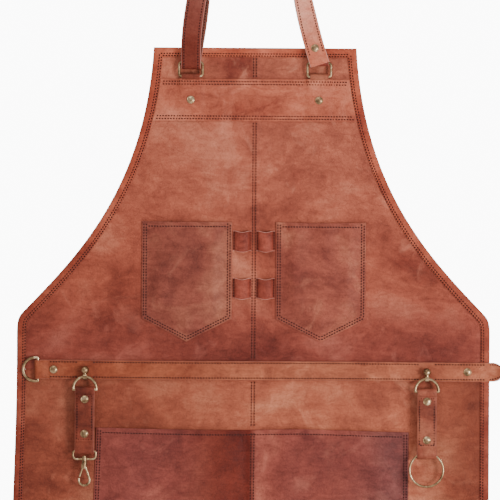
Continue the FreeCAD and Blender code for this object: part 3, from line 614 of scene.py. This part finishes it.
def make_binding(node, line):
    rings = []
    for i, (p, n) in enumerate(line):
        wave = 1 + 0.012 * math.sin(i * 1.7) + 0.01 * math.sin(i * 0.6 + 1)
        for s, d in FOLD:
            q = p + n * (s * wave if s > 0.5 else s)
            puff = 1 + 0.03 * math.sin(i * 2.1 + 4 * s)
            rings.append(at(q[0], d * puff, q[1]))
    add(node + "_leather", rings, tube(len(line), len(FOLD)), [TRIM], "apron", [node])
    for inset in (6.8, 9.6):
        row = np.array([p + n * (inset / WIDE) for p, n in line])
        sew("apron", at(row[:, 0], -BINDING_DEPTH, row[:, 1]), -Y_DIR)
        sew("apron", at(row[:, 0], BINDING_DEPTH, row[:, 1]), Y_DIR)


# ---- chest band and ring tabs
RING_X = 82.0
RING_DEPTH = -8.0


def band_depth(x, z):
    """Front of the chest band, which bulges over the two ring tabs and has a few folds in its middle."""
    off = np.minimum(np.abs(x - RING_X), np.abs(x + RING_X))
    over = 1 - smooth(12.0, 19.0, off)
    lift = 1.6 * over + 4.3 * over * smooth(BAND_Z1 - 15, BAND_Z1 - 0.5, z)
    folds = bump_at(x, -33, 2.6) * 0.9 - bump_at(x, -25, 3.0) * 0.5 + bump_at(x, -16, 2.4) * 0.7
    z_mid = (BAND_Z0 + BAND_Z1) / 2
    puff = 0.35 * np.sin(x / 13 + 0.4 * np.sin(z / 9)) * bump_at(z, z_mid, 16)
    return FRONT - BAND_T + seam_rise(x, z) - lift - folds * bump_at(z, z_mid + 4, 17) - puff


def make_band():
    def shape(u, v):
        z = BAND_Z0 + (BAND_Z1 - BAND_Z0) * v
        edge = half_width(z) - WIDE / 0.985 - 0.4
        return edge * (2 * u - 1), z

    slab("chest_band_leather", shape, (250, BAND_Z1 - BAND_Z0), (120, 22), band_depth, BAND_T,
         BAND, ["chest_band"])
    for z in (BAND_Z1 - 3.4, BAND_Z1 - 7.0, BAND_Z0 + 2.8, BAND_Z0 + 6.4):
        edge = half_width(z) - WIDE - 3.0
        seam(np.linspace((-edge, z), (edge, z), 160), band_depth)


def plane_ribbon(name, x, path, width, thick, mats, body, nodes, closed=False, grain=1, crown=0.0):
    """Strap whose length runs in the depth and height directions at one x. The grain faces
    left of travel when looking along +X, or right where grain is -1."""
    path = np.asarray(path, float)
    way = headings(path, closed)
    centre = columns(x, APRON_Y + path[:, 0], path[:, 1])
    out = columns(0, -way[:, 1] * grain, way[:, 0] * grain)
    across = np.tile(X_DIR, (len(path), 1))
    ribbon(name, centre, across, out, width, thick, mats, body, nodes, closed=closed, crown=crown)


def arc(centre, radius, start, stop, count):
    """Points (depth, z) round a bar; 0 degrees is behind it and 90 above."""
    a = np.radians(np.linspace(start, stop, count))
    return columns(centre[0] + radius * np.cos(a), centre[1] + radius * np.sin(a))


def make_tabs():
    """Tabs folded round the lower bars of the neck rings. Both ends go under the chest band."""
    low_bar = mm("neck_ring_left")[0][2] + 1.7
    for side, x in (("left", -RING_X), ("right", RING_X)):
        path = [(-1.9, BAND_Z0 + 9), (-1.9, BAND_Z1 - 14), (-2.2, BAND_Z1 - 7), (-3.6, BAND_Z1 - 1.5)]
        path += arc((RING_DEPTH, low_bar), 2.85, 0, 235, 14).tolist()
        path += [(-6.6, BAND_Z1 - 2.6), (-4.8, BAND_Z1 - 5.5), (-3.5, BAND_Z1 - 11), (-3.0, BAND_Z1 - 18)]
        plane_ribbon("ring_tab_%s_leather" % side, x, path, 23.4, 1.5, [STRAP, CUT_EDGE, FLESH], "apron",
                     ["ring_tab_" + side], grain=-1)


# ---- pockets and loops
def hem_fold(z, top):
    """Step where the pocket's mouth is turned over."""
    return -0.55 * smooth(top - 9.5, top - 8.3, z)


def make_chest_pocket(side):
    node = "chest_pocket_" + side
    low, high = mm(node)
    x_mid, half, top, tip = (high[0] + low[0]) / 2, (high[0] - low[0]) / 2, high[2], low[2]
    foot = tip + 29.5
    sign = 1 if x_mid > 0 else -1

    def bottom(x):
        return tip + (foot - tip) * np.abs(x - x_mid) / half

    def shape(u, v):
        x = x_mid + half * (2 * u - 1)
        mouth = top - 1.0 * np.sin(np.pi * u) * (1.4 if sign > 0 else 0.7)
        return x, bottom(x) + (mouth - bottom(x)) * v

    def front(x, z):
        side_gap = half - np.abs(x - x_mid)
        low_gap = (z - bottom(x)) * 0.89
        puff = smooth(6.5, 26, side_gap) * smooth(6.5, 34, low_gap)
        puff = puff * (0.62 + 0.38 * smooth(top - 10, top - 60, z))
        rise = 4.6 * puff
        if sign > 0:
            u = (x - x_mid) / half
            folds = 0.9 * np.sin(u * 9.5 + 0.5) * bump_at(z, top - 20, 26) * smooth(0, 14, side_gap)
            folds = folds + 1.1 * bump_at(z - 4 * u, top - 88, 4.5) - 0.9 * bump_at(z + 3 * u, top - 98, 4)
            folds = folds + 0.8 * bump_at(z - 6 * u, top - 109, 5)
            rise = rise + folds * smooth(5, 18, side_gap) * smooth(5, 20, low_gap)
        else:
            rise = rise + 0.5 * np.sin(x / 11 + z / 23) * puff
        return FRONT - POCKET_T - rise + hem_fold(z, top)

    sheet = slab(node + "_leather", shape, (2 * half, top - tip), (52, 60), front, POCKET_T,
                 POCKET, [node])
    for inset in (2.6, 5.8):
        w, rise = half - inset, inset * 1.12
        corner = [(x_mid - w, top - 2), (x_mid - w, bottom(x_mid - w) + rise), (x_mid, tip + rise),
                  (x_mid + w, bottom(x_mid + w) + rise), (x_mid + w, top - 2)]
        for a, b in zip(corner, corner[1:]):
            seam(np.linspace(a, b, 40), front)
    seam(np.linspace((x_mid - half + 7, top - 6.4), (x_mid + half - 7, top - 6.4), 50), front, behind=False)


def make_lower_pocket():
    half, foot, top = mm("lower_pocket")[1][0], FOOT_Z, MOUTH_Z

    def mouth(x):
        return top - 1.2 - np.interp(x, [-half, -60, 0, 60, half], [-1.2, 1.0, 0.6, -1.0, 2.6])

    def shape(u, v):
        x = half * (2 * u - 1)
        return x, foot + (mouth(x) - foot) * v

    def front(x, z):
        off = np.minimum(half - np.abs(x), np.abs(x))
        puff = smooth(6.0, 46, off) * smooth(6.0, 60, z - foot)
        puff = puff * (0.72 + 0.28 * smooth(top - 4, top - 70, z))
        sag = 0.7 * np.sin(x / 27 + 1.1) * bump_at(z, top - 40, 45) * smooth(8, 30, off)
        sag = sag + 0.5 * np.sin(x / 15 + z / 31) * smooth(8, 26, off) * smooth(6, 30, z - foot)
        return FRONT - POCKET_T - 4.8 * puff - sag + seam_rise(x, z) + hem_fold(z, mouth(x))

    sheet = slab("lower_pocket_leather", shape, (2 * half, top - foot), (130, 70), front, POCKET_T,
                 LOWER, ["lower_pocket"])
    for inset in (2.6, 6.0):
        for x in (inset - half, half - inset):
            seam(np.linspace((x, foot + inset), (x, mouth(x) - 2), 90), front)
        seam(np.linspace((inset - half, foot + inset), (half - inset, foot + inset), 150), front)
    for x in (-1.9, 1.9):
        seam(np.linspace((x, foot + 7), (x, mouth(0) - 2), 90), front, behind=False)
    xs = np.linspace(7 - half, half - 7, 200)
    seam(columns(xs, mouth(xs) - 6.2), front, behind=False)


def level_frame(path):
    """Frame of a strap that runs level along (x, depth) points: its across and out directions."""
    way = headings(path)
    return np.tile(Z_DIR, (len(path), 1)), columns(way[:, 1], -way[:, 0], 0)


def make_loop(node):
    """Arched tool loop, sewn down at both ends."""
    low, high = mm(node)
    x, half, z = (low[0] + high[0]) / 2, (high[0] - low[0]) / 2, (low[2] + high[2]) / 2
    arch = [(-half, FRONT - 0.8), (-half + 1.2, FRONT - 0.8), (-9.5, FRONT - 1.2)]
    for a in np.radians(np.linspace(158, 22, 17)):
        arch.append((9.6 * math.cos(a), FRONT - 6.8 * math.sin(a) ** 0.8 - 0.2))
    arch = np.array(arch + [(9.5, FRONT - 1.2), (half - 1.2, FRONT - 0.8), (half, FRONT - 0.8)])
    dip = 1.9 * np.cos(np.clip(arch[:, 0] / 9.5, -1, 1) * math.pi / 2) ** 1.5
    centre = columns(x + arch[:, 0], APRON_Y + arch[:, 1] + float(drape(x, z)), z - dip)
    ribbon(node + "_leather", centre, *level_frame(arch), high[2] - low[2] - 0.4, 1.5,
           [LOOPS, LOOP_EDGE, FLESH], "apron", [node], "pocket_leather")
    for stitch_x in (x - half + 1.2, x + half - 1.2):
        seam(np.linspace((stitch_x, low[2] + 0.6), (stitch_x, high[2] - 0.6), 12), FRONT - 1.6, pitch=3.4)


# ---- belt, its ring fold and the tail
BAR_X = mm("belt_d_ring")[1][0] - 1.9
BELT_W, BELT_T, BELT_CROWN = 24.4, 3.9, 0.35
BELT_END = 303.0


def belt_line(xs, lift=0.0, rise=0.0):
    """Points along the slightly wavy belt, lifted towards the viewer and raised from its middle line."""
    depth = -3.0 - lift - 0.18 * np.sin(xs / 21) - 0.12 * np.sin(xs / 9 + 1)
    return columns(xs, APRON_Y + depth, WAIST_Z + rise + 0.25 * np.sin(xs / 60))


def make_belt():
    xs = np.concatenate([np.linspace(BAR_X + 2.6, BAR_X + 24, 10), np.linspace(BAR_X + 32, BELT_END, 90)])
    up, face = np.tile(Z_DIR, (len(xs), 1)), np.tile(-Y_DIR, (len(xs), 1))
    ribbon("waist_belt_leather", belt_line(xs), up, face, BELT_W, BELT_T, [BELT, CUT_EDGE, FLESH], "apron",
           ["waist_belt"], crown=BELT_CROWN)
    left_stud, right_stud = (mm("hanger_stud_" + side)[0][0] + 5.0 for side in ("left", "right"))
    rows = ((BAR_X + 14, left_stud - 8.5), (left_stud + 8.5, right_stud - 9.0),
            (right_stud + 9.0, BELT_END - 4))
    for dz in (-BELT_W / 2 + 2.7, BELT_W / 2 - 2.7):
        lift = BELT_T / 2 + BELT_CROWN * (1 - (2 * dz / BELT_W) ** 2)
        for ends in rows:
            sew("apron", belt_line(np.linspace(*ends, 200), lift, dz), -Y_DIR)
        y, z = APRON_Y - FRONT, WAIST_Z + dz
        sew("apron", np.linspace((BAR_X + 10, y, z), (290, y, z), 200), Y_DIR)
    y = APRON_Y - 5.2
    for x in (286.0, 289.2):
        sew("apron", np.linspace((x, y, WAIST_Z - 9), (x, y, WAIST_Z + 9), 12), -Y_DIR, 3.2)


def make_belt_fold():
    """The belt's end, folded round the bar of its ring and back onto its own face."""
    path = [(BAR_X + 16, -2.0), (BAR_X + 6, -2.0)]
    for a in np.radians(np.linspace(90, 270, 13)):
        path.append((BAR_X + 3.2 * math.cos(a), -5.2 + 3.2 * math.sin(a)))
    path += [(BAR_X + 4, -8.3), (BAR_X + 8, -7.4), (BAR_X + 11.5, -6.2), (BAR_X + 14, -5.9)]
    path = np.array(path)
    centre = columns(path[:, 0], APRON_Y + path[:, 1], WAIST_Z)
    ribbon("belt_ring_fold", centre, *level_frame(path), BELT_W - 0.2, 1.9, [BELT, CUT_EDGE, FLESH], "apron",
           ["belt_fold"])


def make_tail():
    """Waist strap beyond the belt: it twists a quarter, bends over and hangs to a rounded tip."""
    out_x, bend, drop = 330.0, 35.0, 500.0
    start_x = BELT_END - 2.5
    depth = APRON_Y - 3.4
    centre, across, face = [], [], []
    for t in np.linspace(0, 1, 14):
        turn = math.pi / 2 * smooth(0, 1, t)
        centre.append((start_x + (out_x - start_x) * t, depth, WAIST_Z))
        across.append((0, math.sin(turn), math.cos(turn)))
        face.append((0, -math.cos(turn), math.sin(turn)))
    for t in np.linspace(0, 1, 12)[1:]:
        a = math.pi / 2 * t
        centre.append((out_x + bend * math.sin(a), depth, WAIST_Z - bend * (1 - math.cos(a))))
        across.append((0, 1, 0))
        face.append((math.sin(a), 0, math.cos(a)))
    tip = drop - np.array([12.0, 8.0, 4.0, 1.0, 0.2])
    for fall in np.concatenate([np.linspace(0, drop - 16, 34)[1:], tip]):
        sway = 1.6 * math.sin(fall / 70) * smooth(0, 90, fall)
        twist = 0.18 * math.sin(fall / 160) * smooth(0, 120, fall)
        centre.append((out_x + bend + sway, depth, WAIST_Z - bend - fall))
        across.append((math.sin(twist), math.cos(twist), 0))
        face.append((math.cos(twist), -math.sin(twist), 0))
    scale = np.ones(len(centre))
    scale[-5:] = (0.97, 0.88, 0.66, 0.36, 0.22)
    ribbon("waist_strap_tail_leather", centre, across, face, BELT_W, 3.1, [BELT, STRAP_EDGE, STRAP_FLESH],
           "apron", ["waist_strap_tail"], scale=scale, crown=0.2)
    centre, across, face = (np.array(a[:-6], float) for a in (centre, across, face))
    for a in (-9.3, 9.3):
        sew("apron", centre + across * a + face * 1.6, face)
        sew("apron", centre + across * a - face * 1.55, -face)


# ---- neck strap
STRAP_W, STRAP_T = 25.0, 3.2
# over the hook: how far the strands lean, the middle of their turn and its radius
LEAN, ARM_Z, REACH = math.radians(10.0), -5.3, 6.9
BAR_Z = mm("neck_ring_left")[1][2] - 1.7
# the left fold: half the gap between its two strands, and how far it hangs below the ring's bar
APART, LOOSE = 3.6, 7.0
# where the keeper sits on the left strand, as a share of its length
KEEPER_T = 0.34


def route(side):
    """Poles of the strap's line from a ring up to the hook."""
    end = (side * REACH * math.cos(LEAN), ARM_Z + REACH * math.sin(LEAN))
    above = (end[0] + side * 150 * math.sin(LEAN), end[1] - 150 * math.cos(LEAN))
    knee = RING_X - (33 if side > 0 else 0)
    return ((side * RING_X, BAR_Z), (side * knee, BAR_Z + 103), above, end)


def strand(side, ts, turn_from, turn_to, depth):
    """Stations from the ring up to the hook: the strap turns a quarter on the way."""
    poles = route(side)
    centre, across, out = [], [], []
    for t in ts:
        x, z = bezier(poles, t)
        xa, za = bezier(poles, max(t, 0.0) - 0.01)
        xb, zb = bezier(poles, min(max(t, 0.0), 0.99) + 0.01)
        way = unit(np.array([xb - xa, 0, zb - za]))
        turn = math.pi / 2 * smooth(turn_from, turn_to, t)
        a = np.array([way[2], 0, -way[0]]) * math.cos(turn) + Y_DIR * math.sin(turn)
        centre.append((x, APRON_Y + depth(t), z))
        across.append(a)
        out.append(np.cross(a, way) * side)
    return [np.array(v) for v in (centre, across, out)]


def forward(t):
    """The right strand comes forward to lie over its ring."""
    return 3.6 * (1 - smooth(0.0, 0.058, t))


def right_depth(t):
    return RING_DEPTH - 1.8 * (1 - smooth(0.075, 0.16, t)) - forward(t)


def left_depth(t):
    return RING_DEPTH + APART * (1 - smooth(0, 0.5, t))


def tip_gap(t):
    """Distance between the left strand and the free end in front of it."""
    return 2 * APART - (2 * APART - 0.2 - STRAP_T) * smooth(0, 0.32, t)


def make_neck_strap():
    """One strap: up from the right ring, over the hook, round the left ring and back up to the keeper."""
    ts = np.concatenate([[-0.007, 0.003, 0.018], np.linspace(0.035, 1, 40)])
    right = strand(1, ts, 0.10, 0.55, right_depth)
    angles = LEAN + (math.pi - 2 * LEAN) * np.linspace(0, 1, 14)[1:-1]
    radial = columns(np.cos(angles), 0, np.sin(angles))
    over = [np.array([0, APRON_Y + RING_DEPTH, ARM_Z]) + radial * REACH, np.tile(Y_DIR, (12, 1)), radial]
    left_ts = np.linspace(0, 1, 42)
    left = strand(-1, left_ts, 0.55, 0.95, left_depth)
    left[0][:, 0] += 4.6 * np.sin(np.pi * np.clip(left_ts / KEEPER_T, 0, 1))
    turn = np.radians(np.linspace(0, 180, 16))[1:-1]
    sag = columns(0, APART * np.cos(turn), -LOOSE * np.sin(turn))
    ring = unit(columns(0, np.cos(turn) / APART, -np.sin(turn) / LOOSE))
    fold = [np.array([-RING_X, APRON_Y + RING_DEPTH, BAR_Z]) + sag, np.tile(X_DIR, (14, 1)), ring]
    tip_ts = np.concatenate([np.linspace(0, 0.40, 16), [0.41, 0.417, 0.42]])
    tip = strand(-1, tip_ts, 0.55, 0.95, lambda t: left_depth(t) - tip_gap(t))
    tip[2] = -tip[2]
    tip[0][:, 0] -= 1.2 * np.sin(np.pi * np.clip(tip_ts / KEEPER_T, 0, 1))
    # the walk runs right ring, hook, left ring, free tip; sections stay the same way round
    parts = [right, over, [a[::-1] for a in left], fold, tip]
    centre, across, out = (np.vstack([p[i] for p in parts]) for i in range(3))
    scale = np.ones(len(centre))
    scale[-3:] = (0.94, 0.7, 0.5)
    ribbon("neck_strap_leather", centre, across, out, STRAP_W, STRAP_T, [NECK, STRAP_EDGE, STRAP_FLESH],
           "neck_strap", ["neck_strap_left", "neck_strap_right"], scale=scale, crown=0.25)
    sewn = slice(3, len(centre) - 4)
    for a in (-8.9, 8.9):
        row = centre[sewn] + across[sewn] * a
        sew("neck_strap", row + out[sewn] * 1.68, out[sewn])
        sew("neck_strap", row - out[sewn] * 1.6, -out[sewn])


def make_ring_loop():
    """Loop of thinner leather that carries the right ring, riveted behind the strap's end."""
    def along(t, depth):
        x, z = bezier(route(1), t)
        return x, depth, z

    path = [along(t, -7.3 - forward(t)) for t in (0.088, 0.07, 0.06, 0.045, 0.03, 0.012)]
    path += [(RING_X, depth, z) for depth, z in arc((RING_DEPTH, BAR_Z), 2.9, 180, 360, 11)]
    path += [along(t, -5.5 + forward(t) / 9) for t in (0.012, 0.03, 0.045, 0.06, 0.07, 0.085)]
    path = np.array(path)
    side = np.tile(X_DIR, (len(path), 1))
    ribbon("right_ring_loop", path + (0, APRON_Y, 0), side, np.cross(headings(path), side), 23.6, 1.7,
           [LOOPS, CUT_EDGE, STRAP_FLESH], "neck_strap")


def make_keeper():
    centre, across, out = (a[0] for a in strand(-1, [KEEPER_T], 0.55, 0.95, left_depth))
    way = np.cross(across, out)
    out = -out
    front, back = 1.5 * STRAP_T + 0.5, -STRAP_T / 2 - 0.3
    half, corner, wall = STRAP_W / 2 + 0.3, 1.2, 1.5
    middle, tall = (front + back) / 2, (front - back) / 2
    pts, normals = [], []
    for qx, qy, a0 in ((1, 1, 0), (-1, 1, 90), (-1, -1, 180), (1, -1, 270)):
        for a in np.radians(np.linspace(a0, a0 + 90, 5)):
            n = across * math.cos(a) + out * math.sin(a)
            base = across * qx * (half - corner) + out * (middle + qy * (tall - corner))
            pts.append(centre + base + n * (corner + wall / 2))
            normals.append(n)
        if qy * qx > 0:
            for f in (0.6, 0.2, -0.2, -0.6):
                spot = across * qx * (half - corner) * f + out * (middle + qy * (tall + wall / 2))
                pts.append(centre + spot)
                normals.append(out * qy)
    ribbon("strap_keeper_leather", pts, [way] * len(pts), normals, 9.0, wall,
           [STRAP, STRAP_EDGE, STRAP_FLESH], "neck_strap", ["strap_keeper"], closed=True, crown=0.1)


# ---- rivets
# profiles as (radius, height towards the viewer)
CAP = [(0.3, 2.0), (1.6, 1.95), (2.8, 1.8), (3.6, 1.5), (4.0, 1.15), (4.2, 1.05), (4.5, 1.3), (4.9, 1.2),
       (5.15, 0.6), (5.05, -0.2)]
WASHER = [(4.0, 0.2), (4.1, -0.2), (3.8, -0.75), (2.4, -0.95), (1.5, -0.6), (0.3, -0.55)]
FLAT_BACK = [(4.0, 0.9), (4.1, 0.5), (3.9, 0.0), (1.5, -0.3)]


def lathe(name, centre, profile, body, nodes=()):
    """Turned brass piece facing the viewer."""
    sides = 28
    a = np.linspace(0, math.tau, sides, endpoint=False)
    ring = columns(np.cos(a), 0, np.sin(a))
    verts = [ring * r + (centre[0], centre[1] - h, centre[2]) for r, h in profile]
    add(name, np.vstack(verts), tube(len(profile), sides), [BRASS], body, nodes, sharp=60)


def put_rivet(name, node, x, z, front, back, body):
    """Domed cap in front and a burred washer behind, in place of a CAD rivet."""
    lathe(name + "_cap", (x, APRON_Y + front, z), CAP, body, [node])
    lathe(name + "_washer", (x, APRON_Y + back, z), WASHER, body)


def make_rivets():
    for i, x in enumerate((-RING_X, RING_X)):
        put_rivet("band_rivet_%d" % i, "band_rivets", x, TOP_Z - 66, -4.45, -FRONT, "apron")
    for i, x in enumerate((-255.0, 274.0)):
        put_rivet("belt_rivet_%d" % i, "belt_rivets", x, WAIST_Z, -5.25, -FRONT, "apron")
    for side, drops in (("left", (37.3, 81.3)), ("right", (37.3, 86.8))):
        low, high = mm("hanger_facing_" + side)
        for i, drop in enumerate(drops):
            put_rivet("hanger_rivet_%s_%d" % (side, i), "hanger_rivets_" + side, float(low[0] + high[0]) / 2,
                      WAIST_Z - drop, -17.5, -12.0, side + "_hanger")
    x, z = 76.3, TOP_Z + 0.5
    lathe("right_strap_rivet_cap", (x, APRON_Y - 11.3, z), CAP, "neck_strap", ["neck_strap_rivet"])
    lathe("right_strap_rivet_back", (x, APRON_Y - 3.8, z), FLAT_BACK, "neck_strap")


# ---- hangers under the belt
def make_hanger(side):
    """Doubled strap between its D ring and what it holds, with a facing ply riveted to its front."""
    low, high = mm("hanger_facing_" + side)
    x, z0, z1 = (low[0] + high[0]) / 2, low[2], high[2]
    depth, body = -13.8, side + "_hanger"
    bar = WAIST_Z - 25.0
    # the lower fold: its drop, the radius of what it holds, and how it widens towards it
    if side == "left":
        drop, hole, flare, turns = 104.0, 1.9, [(1.6, 6)], 11
    else:
        drop, hole, flare, turns = 105.0, 4.5, [(3.4, 7), (5.0, 3)], 13
    fold = WAIST_Z - drop
    path = [(depth - 0.95, z) for z in np.linspace(fold + 16, bar - 8, 12)]
    path += [(depth - 2.4, bar - 3.0), *arc((depth, bar), 3.0, 180, 0, 11).tolist(), (depth + 2.4, bar - 3.0)]
    path += [(depth + 0.95, z) for z in np.linspace(bar - 8, fold + 16, 12)]
    path += [(depth + d, fold + up) for d, up in flare]
    path += arc((depth, fold), hole + 0.9, 0, -180, turns).tolist()
    path += [(depth - d, fold + up) for d, up in flare[::-1]]
    plane_ribbon("hanger_strap_%s_leather" % side, x, path, 24.8, 1.75, [STRAP, CUT_EDGE, STRAP_FLESH], body,
                 ["hanger_strap_" + side], closed=True)
    zs = np.linspace(z0, z1, 40)
    off = depth - 2.75
    falls = WAIST_Z - zs
    creases = 0.55 * bump_at(falls, 55.0, 1.8) - 0.4 * bump_at(falls, 59.5, 2.0)
    creases += 0.5 * bump_at(falls, 63.0, 1.6)
    line = [(off - 0.15 * math.sin(z / 7) + c, z) for z, c in zip(zs, creases)]
    plane_ribbon("hanger_facing_%s_leather" % side, x, line, 24.6, 1.7, [STRAP, CUT_EDGE, STRAP_FLESH], body,
                 ["hanger_facing_" + side], crown=0.25)
    y = APRON_Y + off - 0.98
    for dx in (-9.6, 9.2):
        sew(body, [(x + dx, y + c, z) for z, c in zip(zs[1:-1], creases[1:-1])], -Y_DIR, 3.4)
    for z in (z0 + 2.4, z1 - 2.2):
        sew(body, np.linspace((x - 10, y, z), (x + 10, y, z), 12), -Y_DIR, 3.2)
    for dx in (-9.6, 9.2):
        sew(body, [(x + dx, APRON_Y + depth + 1.85, z) for z in zs[1:-1]], Y_DIR, 3.4)


# ---- build it
make_panels()
make_seam_tapes()
sew_centre_seam()
make_binding("top_binding", top_line())
make_binding("left_binding", side_line(-1))
make_binding("right_binding", side_line(1))
make_binding("hem_binding", hem_line())
make_band()
make_tabs()
make_chest_pocket("left")
make_chest_pocket("right")
make_lower_pocket()
for row in ("upper", "lower"):
    make_loop("tool_loop_%s_left" % row)
    make_loop("tool_loop_%s_right" % row)
make_belt()
make_belt_fold()
make_tail()
make_neck_strap()
make_ring_loop()
make_keeper()
make_rivets()
make_hanger("left")
make_hanger("right")
for body_name, rows in SEWN.items():
    thread(body_name, rows)

FINISH = {"hook_plate": IRON, "hook_arm": IRON, "hook_rosette": IRON, "hook_knob": HOOK_BRASS}
METALS = ["belt_d_ring", "strap_tip_stud", "o_ring", "snap_bail", "snap_hook", "snap_gate_pin", "snap_gate"]
for side in ("left", "right"):
    METALS += ["neck_ring_" + side, "hanger_stud_" + side, "hanger_d_ring_" + side]
FINISH.update((node, BRASS) for node in METALS)
for node, mat in FINISH.items():
    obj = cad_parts[node]
    obj.data.materials.clear()
    obj.data.materials.append(mat)


# ---- stage, light and camera
def plane(name, corners, strength):
    mesh = bpy.data.meshes.new(name)
    mesh.from_pydata(corners, [], [tuple(range(len(corners)))])
    obj = link(name, mesh)
    p = Paint(name + "_paint")
    tone = p.ramp(p.noise(2.0, 3.0), (0.3, (0.93, 0.93, 0.93, 1)), (0.7, (0.96, 0.96, 0.96, 1)))
    p.finish(tone, 0.9, Emission_Color=(1, 1, 1, 1), Emission_Strength=strength)
    mesh.materials.append(p.mat)


FLOOR_Z, BACKDROP_Y = -1.52, 14
# the backdrop is small and far off, so it fills the picture without lighting the leather
plane("floor", [(x, y, FLOOR_Z) for x, y in ((-9, -9), (9, -9), (9, 5.5), (-9, 5.5))], 0.15)
plane("backdrop", [(x, BACKDROP_Y, z) for x, z in ((-2.4, -3.4), (2.4, -3.4), (2.4, 2.0), (-2.4, 2.0))], 10.0)

world = bpy.data.worlds.new("studio")
world.use_nodes = True
sky = world.node_tree.nodes["Background"]
sky.inputs["Color"].default_value = (1.0, 1.0, 1.0, 1.0)
sky.inputs["Strength"].default_value = 0.66
bpy.context.scene.world = world


def area_light(name, place, target, size, power, tint=(1, 1, 1)):
    data = bpy.data.lights.new(name, "AREA")
    data.size, data.energy, data.color = size, power, tint
    obj = link(name, data)
    obj.location = place
    way = np.array(target) - np.array(place)
    flat = math.hypot(way[0], way[1])
    obj.rotation_euler = (math.pi / 2 + math.atan2(way[2], flat), 0, math.atan2(way[1], way[0]) - math.pi / 2)


area_light("key", (1.5, -2.0, -0.9), (0.0, 0.0, -0.6), 0.7, 46, (1.0, 0.97, 0.93))
area_light("top", (-0.5, -1.6, 1.1), (0.0, 0.0, -0.6), 1.4, 19)

camera_data = bpy.data.cameras.new("camera")
camera = link("camera", camera_data)
camera_data.lens, camera_data.sensor_width = 225.0, 36.0
camera_data.clip_start, camera_data.clip_end = 0.05, 60.0
camera.location = (-0.005, -4.0 + APRON_Y / 1000, -0.6327)
camera.rotation_euler = (math.pi / 2, math.radians(-0.38), 0.0)
bpy.context.scene.camera = camera
